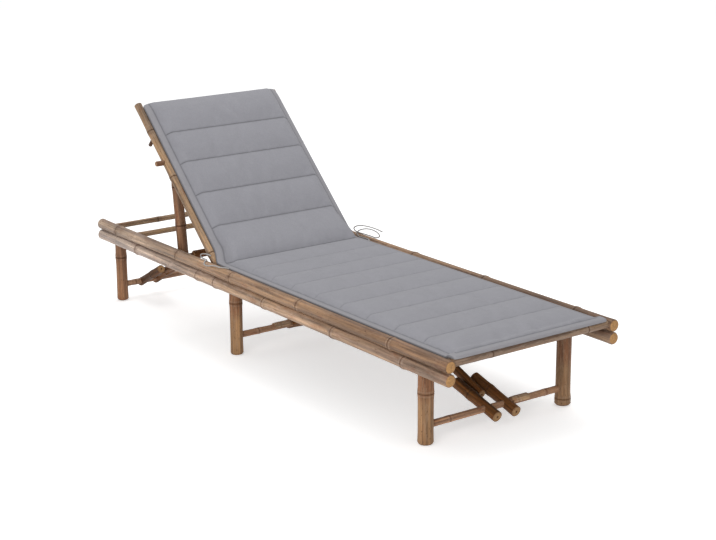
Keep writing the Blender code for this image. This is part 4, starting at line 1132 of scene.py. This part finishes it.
class Pad:
    """Sizes of the whole pad and how a point of it lies on the lounger."""

    def __init__(self, settings):
        self.half = settings.width / 2
        self.thickness = settings.thickness
        self.border = settings.border
        self.edge = settings.border_thickness
        self.depth = settings.channel_depth
        self.seat_length = CREASE_Y - FOOT_Y
        crease_z = SEAT_TOP_Z + self.thickness - self.depth
        crease = Vector((0.0, CREASE_Y, crease_z))
        self.back_start = (crease - HINGE).dot(BACK_ALONG)
        self.length = self.seat_length + BACK_TOP - self.back_start
        over = (crease - HINGE).dot(BACK_NORMAL)
        self.bend = over - self.thickness + self.depth - BACK_TOP_OFFSET
        back = [self.seat_length - self.back_start + seam for seam in BACK_SEAMS]
        self.seams = [self.border, *SEAT_SEAMS, *back, self.length]
        on_rail = self.touch(self.half - PAD_SHIFT, RAIL_X, RAIL_RADIUS)
        self.rail_rise = on_rail + UPPER_RAIL_Z - SEAT_TOP_Z
        back_edge = self.half - BACK_NARROWING / 2 - BACK_SHIFT
        self.edge_sink = BACK_TOP_OFFSET - self.touch(back_edge, BACK_RAIL_X, BACK_RAIL_RADIUS)

    def touch(self, x, axis_x, radius):
        """How high a rail's skin stands over its axis where the pad's edge lies on it."""
        reach = radius - SINK
        return math.sqrt(max(0.0, reach * reach - (x - axis_x) ** 2))

    def back_sink(self, x):
        """How far the pad's border lies below the back's deck: beside one rail, over the other."""
        if x < 0.0:
            return self.edge_sink * smooth_step((-x - BORDER_INSIDE_X) / EDGE_RISE)
        over_rail = BACK_TOP_OFFSET - BACK_RAIL_RADIUS + SINK
        past_crown = max(x - BACK_RAIL_X, 0.0)
        onto_rail = smooth_step((x - BORDER_INSIDE_X) / ONTO_LEFT_RAIL)
        return over_rail * onto_rail + past_crown ** 2 / (2 * BACK_RAIL_RADIUS)

    def side_lift(self, x):
        """How far the pad's underside rises over the deck to lie against an upper rail."""
        edge = self.half - PAD_SHIFT
        return self.rail_rise * min(max((abs(x) - edge + EDGE_RISE) / EDGE_RISE, 0.0), 1.0)

    def rows(self):
        """Distances along the pad of the mesh's rows, closer beside each seam."""
        shares = (0.0, 0.035, 0.09, 0.16, 0.24, 0.32, 0.41, 0.5, 0.59, 0.68, 0.76, 0.84, 0.91, 0.965)
        places = [0.0, 0.004, 0.010, 0.017]
        for low, high in zip(self.seams, self.seams[1:]):
            places += [low + (high - low) * share for share in shares]
        return places + [self.length]

    def columns(self):
        """Distances from the pad's middle line of the mesh's columns."""
        outside = [0.0, 0.004, 0.010, 0.017, self.border, 0.030, 0.038, 0.048]
        inner = self.half - 0.060
        middle = [-inner + 2 * inner * i / 42 for i in range(43)]
        return [reach - self.half for reach in outside] + middle + [
            self.half - reach for reach in reversed(outside)]

    def side(self, across, along):
        """The distance from the nearest of the foot edge and the two sides."""
        return min(self.half - abs(across), along)

    def height(self, across, along, fullness):
        """How high the upper side stands over the underside."""
        side = self.side(across, along)
        full = self.thickness - self.depth * (1.0 - fullness * crown(along, self.seams))
        swell = smooth_step((side - self.border) / (0.9 * self.border))
        level = self.edge + (full - self.edge) * swell
        to_top = self.length - along
        level *= 1.0 - 0.45 * (1.0 - smooth_step(to_top / TOP_THINNED))
        near = min(side, to_top)
        roll = math.sqrt(max(0.0, 1.0 - (1.0 - min(1.0, near / 0.010)) ** 2))
        return level * (0.55 + 0.45 * roll)

    def rounded(self, across, along):
        """Take a point near one of the four corners in, so that the corner is round."""
        from_side = CORNER - (self.half - abs(across))
        from_end = CORNER - min(along, self.length - along)
        if from_side <= 0.0 or from_end <= 0.0:
            return across, along
        share = max(from_side, from_end) / math.hypot(from_side, from_end)
        across -= math.copysign(from_side * (1.0 - share), across)
        if along < self.length / 2:
            return across, along + from_end * (1.0 - share)
        return across, along - from_end * (1.0 - share)

    def lay(self, across, along, height):
        """Where a point of the flat pad lies on the lounger."""
        past = along - self.seat_length
        taper = smooth_step(past / TAPER)
        share = 1.0 - taper * BACK_NARROWING / (2 * self.half)
        x = PAD_SHIFT + taper * (BACK_SHIFT - PAD_SHIFT) + across * share
        lift = max(self.side_lift(x), self.foot_lift(along))
        thin = 1.0 - smooth_step((self.half - abs(across) - THIN_FROM) / (THIN_TO - THIN_FROM))
        slide = BORDER_SLIDE * thin * max(past, 0.0)
        seat = Vector((x, FOOT_Y + along + slide, SEAT_TOP_Z + height + lift))
        if past < -CHANGEOVER:
            return seat
        distance = self.back_start + past
        bent = 1.0 - smooth_step(past / (BEND * (1.0 - BORDER_SHORTER * thin)))
        lift = self.bend * (1.0 - BORDER_LOWER * thin) * bent
        deck = SEAT_TOP_Z + self.side_lift(x) - HINGE.z
        over_deck = (deck - distance * BACK_ALONG.z) / BACK_NORMAL.z
        offset = max(BACK_TOP_OFFSET - self.back_sink(x) + lift, over_deck)
        back = back_point(x, distance, offset + height)
        return seat.lerp(back, smooth_step((past - FOLD_BACK * thin + CHANGEOVER) / (2 * CHANGEOVER)))

    def foot_lift(self, along):
        """How far the pad rises over the foot bar."""
        return (FOOT_BAR_TOP - SEAT_TOP_Z) * smooth_step((FOOT_BAR_FROM - FOOT_Y - along) / FOOT_BAR_RISE)


class LOUNGER_OT_cushion(bpy.types.Operator):
    """Make the one long pad: sewn, filled as cloth under pressure, and laid over seat and back."""

    bl_idname = "lounger.cushion"
    bl_label = "Cushion"

    def execute(self, context):
        settings = context.scene.lounger_cushion
        pad = Pad(settings)
        piece = self.sewn_pad(pad)
        self.fill(context, piece)
        self.lay_down(piece, pad)
        seams = [(seam, self.darkness(seam / pad.length)) for seam in pad.seams[1:-1]]
        colour = tuple(settings.cloth_colour)
        cloth = cloth_finish("grey_pad_cloth", colour, 2 * pad.half, pad.border, seams, SEAT_SEAMS[-1])
        piece.data.materials.append(cloth)
        only(piece)
        bpy.ops.object.shade_smooth()
        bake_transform(piece)
        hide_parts("seat_cushion", "back_cushion")
        return {"FINISHED"}

    def darkness(self, share):
        """How much painted shade a seam's groove gets: less from the foot to the crease, most at the crease
        and on the back.
        """
        if share > 0.60:
            return 1.0
        return 0.60 - 0.35 * share / 0.62

    def sewn_pad(self, pad):
        """The pad before it is filled: a closed flat bag held at its seams and border."""
        rows = pad.rows()
        columns = pad.columns()
        clear_selection()
        bpy.ops.mesh.primitive_grid_add(x_subdivisions=len(columns) - 1, y_subdivisions=len(rows) - 1,
                                        size=1.0)
        piece = bpy.context.object
        piece.name = "grey_pad"
        bpy.ops.object.mode_set(mode="EDIT")
        bpy.ops.mesh.select_all(action="SELECT")
        bpy.ops.mesh.extrude_region_move(TRANSFORM_OT_translate={"value": (0.0, 0.0, 0.5)})
        bpy.ops.mesh.select_all(action="SELECT")
        bpy.ops.mesh.normals_make_consistent(inside=False)
        bpy.ops.object.mode_set(mode="OBJECT")
        fullness = 0.35
        held = piece.vertex_groups.new(name="held")
        for vertex in piece.data.vertices:
            across = columns[round((vertex.co.x + 0.5) * (len(columns) - 1))]
            along = rows[round((vertex.co.y + 0.5) * (len(rows) - 1))]
            on_top = vertex.co.z > 0.25
            height = pad.height(across, along, fullness) if on_top else 0.0
            sewn = pad.side(across, along) < pad.border + 0.0005
            sewn = sewn or min(abs(along - seam) for seam in pad.seams) < 0.0005
            if sewn or not on_top:
                held.add([vertex.index], 1.0, "REPLACE")
            across, along = pad.rounded(across, along)
            vertex.co = (across, along, height)
        return piece

    def fill(self, context, piece):
        """Blow the bag up as cloth, keep its swelling within bounds and smooth it once."""
        before = [vertex.co.copy() for vertex in piece.data.vertices]
        modifier = piece.modifiers.new("filling", "CLOTH")
        cloth = modifier.settings
        for key, value in (("quality", 6), ("mass", 0.25), ("tension_stiffness", 12.0),
                           ("compression_stiffness", 12.0), ("shear_stiffness", 4.0),
                           ("bending_stiffness", 1.5), ("shrink_min", -0.012), ("use_pressure", True),
                           ("uniform_pressure_force", 4.0), ("vertex_group_mass", "held"),
                           ("pin_stiffness", 1.0)):
            setattr(cloth, key, value)
        cloth.effector_weights.gravity = 0.0
        modifier.collision_settings.use_collision = False
        modifier.point_cache.frame_start = 1
        modifier.point_cache.frame_end = 20
        only(piece)
        for frame_number in range(1, 21):
            context.scene.frame_set(frame_number)
        bpy.ops.object.modifier_apply(modifier=modifier.name)
        context.scene.frame_set(1)
        for vertex, place in zip(piece.data.vertices, before):
            step = vertex.co - place
            if step.length > MOST_SWELL:
                step *= MOST_SWELL / step.length
            vertex.co = place + step
            vertex.co.z = max(vertex.co.z, 0.0)
        apply_modifier(piece, "SUBSURF", "smooth", levels=1, render_levels=1)

    def lay_down(self, piece, pad):
        """Lay the filled pad over the seat and the back, and keep its flat places for the weave."""
        flat = []
        for vertex in piece.data.vertices:
            flat.extend(vertex.co)
            vertex.co = pad.lay(*vertex.co)
        where = piece.data.attributes.new("pad", "FLOAT_VECTOR", "POINT")
        where.data.foreach_set("vector", flat)
        piece.data.update()


# Floor, light and camera

FOCAL_PIXELS = 1662.9
PHOTO_WIDTH_PIXELS = 716.0
CAMERA_PLACE = (-3.0008, -4.2749, 1.756)
CAMERA_YAW, CAMERA_PITCH, CAMERA_ROLL = 0.9411, 0.2760, -0.0062


class LOUNGER_OT_stage(bpy.types.Operator):
    """Make the pale floor, the soft light and the camera."""

    bl_idname = "lounger.stage"
    bl_label = "Stage"

    def execute(self, context):
        settings = context.scene.lounger_stage
        context.scene.view_settings.view_transform = "Standard"
        self.camera(context)
        self.floor(tuple(settings.floor_colour))
        self.sky(context, settings.sky_level)
        self.lamp("overhead_softbox", (1.2, 0.9, 4.2), (0.0, 0.1, 0.3), (4.0, 3.0), settings.lamp_level)
        self.lamp("front_softbox", (-3.9, -2.8, 1.5), (0.0, 0.0, 0.25), (3.0, 2.0),
                  settings.lamp_level * 1.15)
        return {"FINISHED"}

    def camera(self, context):
        """A long lens at the photograph's place."""
        data = bpy.data.cameras.new("studio_camera")
        data.sensor_width = 36.0
        data.lens = FOCAL_PIXELS / PHOTO_WIDTH_PIXELS * data.sensor_width
        camera = bpy.data.objects.new("studio_camera", data)
        context.scene.collection.objects.link(camera)
        level = math.cos(CAMERA_PITCH)
        ahead = Vector((level * math.cos(CAMERA_YAW), level * math.sin(CAMERA_YAW),
                        -math.sin(CAMERA_PITCH)))
        right = ahead.cross(Vector((0.0, 0.0, 1.0))).normalized()
        up = right.cross(ahead)
        side = right * math.cos(CAMERA_ROLL) + up * math.sin(CAMERA_ROLL)
        top = up * math.cos(CAMERA_ROLL) - right * math.sin(CAMERA_ROLL)
        turn = Matrix((side, top, -ahead)).transposed().to_4x4()
        camera.matrix_world = Matrix.Translation(CAMERA_PLACE) @ turn
        context.scene.camera = camera

    def floor(self, colour):
        """A wide pale floor that looks white to the camera and keeps the shadow."""
        clear_selection()
        bpy.ops.mesh.primitive_plane_add(size=60.0, location=(0.0, 0.0, 0.0))
        floor = bpy.context.object
        floor.name = "studio_floor"
        finish = Finish("studio_floor")
        path = finish.node("LightPath")
        seen = finish.signal(path, "Is Camera Ray") + finish.signal(path, "Is Glossy Ray")
        seen = (seen + finish.signal(path, "Is Transmission Ray")).least(1.0)
        diffuse = finish.node("BsdfDiffuse", None, {"Color": colour})
        glow = finish.node("Emission", None, {"Color": (1.0, 1.0, 1.0), "Strength": 0.46})
        lit = finish.node("AddShader", None, {0: diffuse.outputs[0], 1: glow.outputs[0]})
        finish.show("Material Output", seen, diffuse, lit)
        floor.data.materials.append(finish.material)

    def sky(self, context, level):
        """Even light from all round. Past the floor's far edge the camera sees pale grey."""
        world = bpy.data.worlds.new("studio_sky")
        context.scene.world = world
        world.use_nodes = True
        sky = Nodes(world.node_tree)
        light = sky.tree.nodes["Background"]
        sky.join(light.inputs["Color"], (1.0, 1.0, 1.0))
        sky.join(light.inputs["Strength"], level)
        backdrop = sky.node("Background", None, {"Color": (0.8, 0.8, 0.8), "Strength": 1.0})
        sky.show("World Output", sky.signal(sky.node("LightPath"), "Is Camera Ray"), light, backdrop)

    def lamp(self, name, place, target, size, level):
        """A soft rectangular lamp at a place, turned towards a target."""
        data = bpy.data.lights.new(name, "AREA")
        data.shape = "RECTANGLE"
        data.size, data.size_y = size
        data.energy = level
        lamp = bpy.data.objects.new(name, data)
        bpy.context.scene.collection.objects.link(lamp)
        lamp.location = place
        aim = Vector(target) - Vector(place)
        lamp.rotation_euler = aim.to_track_quat("-Z", "Y").to_euler()


class LOUNGER_PT_panel(bpy.types.Panel):
    """The lounger's pieces, in the sidebar."""

    bl_label = "Bamboo sun lounger"
    bl_idname = "LOUNGER_PT_panel"
    bl_space_type = "VIEW_3D"
    bl_region_type = "UI"
    bl_category = "Lounger"

    def draw(self, context):
        layout = self.layout
        scene = context.scene
        for title, group in (("Bamboo", scene.lounger_bamboo), ("Cushion", scene.lounger_cushion),
                             ("Ties", scene.lounger_ties), ("Stage", scene.lounger_stage)):
            box = layout.box()
            box.label(text=title)
            for name in group.bl_rna.properties.keys():
                if name not in ("rna_type", "name"):
                    box.prop(group, name)
        for operator in OPERATORS:
            layout.operator(operator.bl_idname)


SETTINGS = (
    ("lounger_bamboo", BambooSettings),
    ("lounger_cushion", CushionSettings),
    ("lounger_ties", TieSettings),
    ("lounger_stage", StageSettings),
)
OPERATORS = (
    LOUNGER_OT_stage,
    LOUNGER_OT_ties,
    LOUNGER_OT_side_rails,
    LOUNGER_OT_cross_bars,
    LOUNGER_OT_legs,
    LOUNGER_OT_struts,
    LOUNGER_OT_back_frame,
    LOUNGER_OT_laths,
    LOUNGER_OT_cushion,
)


def register():
    for name, group in SETTINGS:
        bpy.utils.register_class(group)
        setattr(bpy.types.Scene, name, bpy.props.PointerProperty(type=group))
    for operator in OPERATORS:
        bpy.utils.register_class(operator)
    bpy.utils.register_class(LOUNGER_PT_panel)


def unregister():
    bpy.utils.unregister_class(LOUNGER_PT_panel)
    for operator in reversed(OPERATORS):
        bpy.utils.unregister_class(operator)
    for name, group in reversed(SETTINGS):
        delattr(bpy.types.Scene, name)
        bpy.utils.unregister_class(group)


def main():
    register()
    bpy.ops.lounger.stage()
    bpy.ops.lounger.ties()
    bpy.ops.lounger.side_rails()
    bpy.ops.lounger.cross_bars()
    bpy.ops.lounger.legs()
    bpy.ops.lounger.struts()
    bpy.ops.lounger.back_frame()
    bpy.ops.lounger.laths()
    bpy.ops.lounger.cushion()


if __name__ == "__main__":
    main()
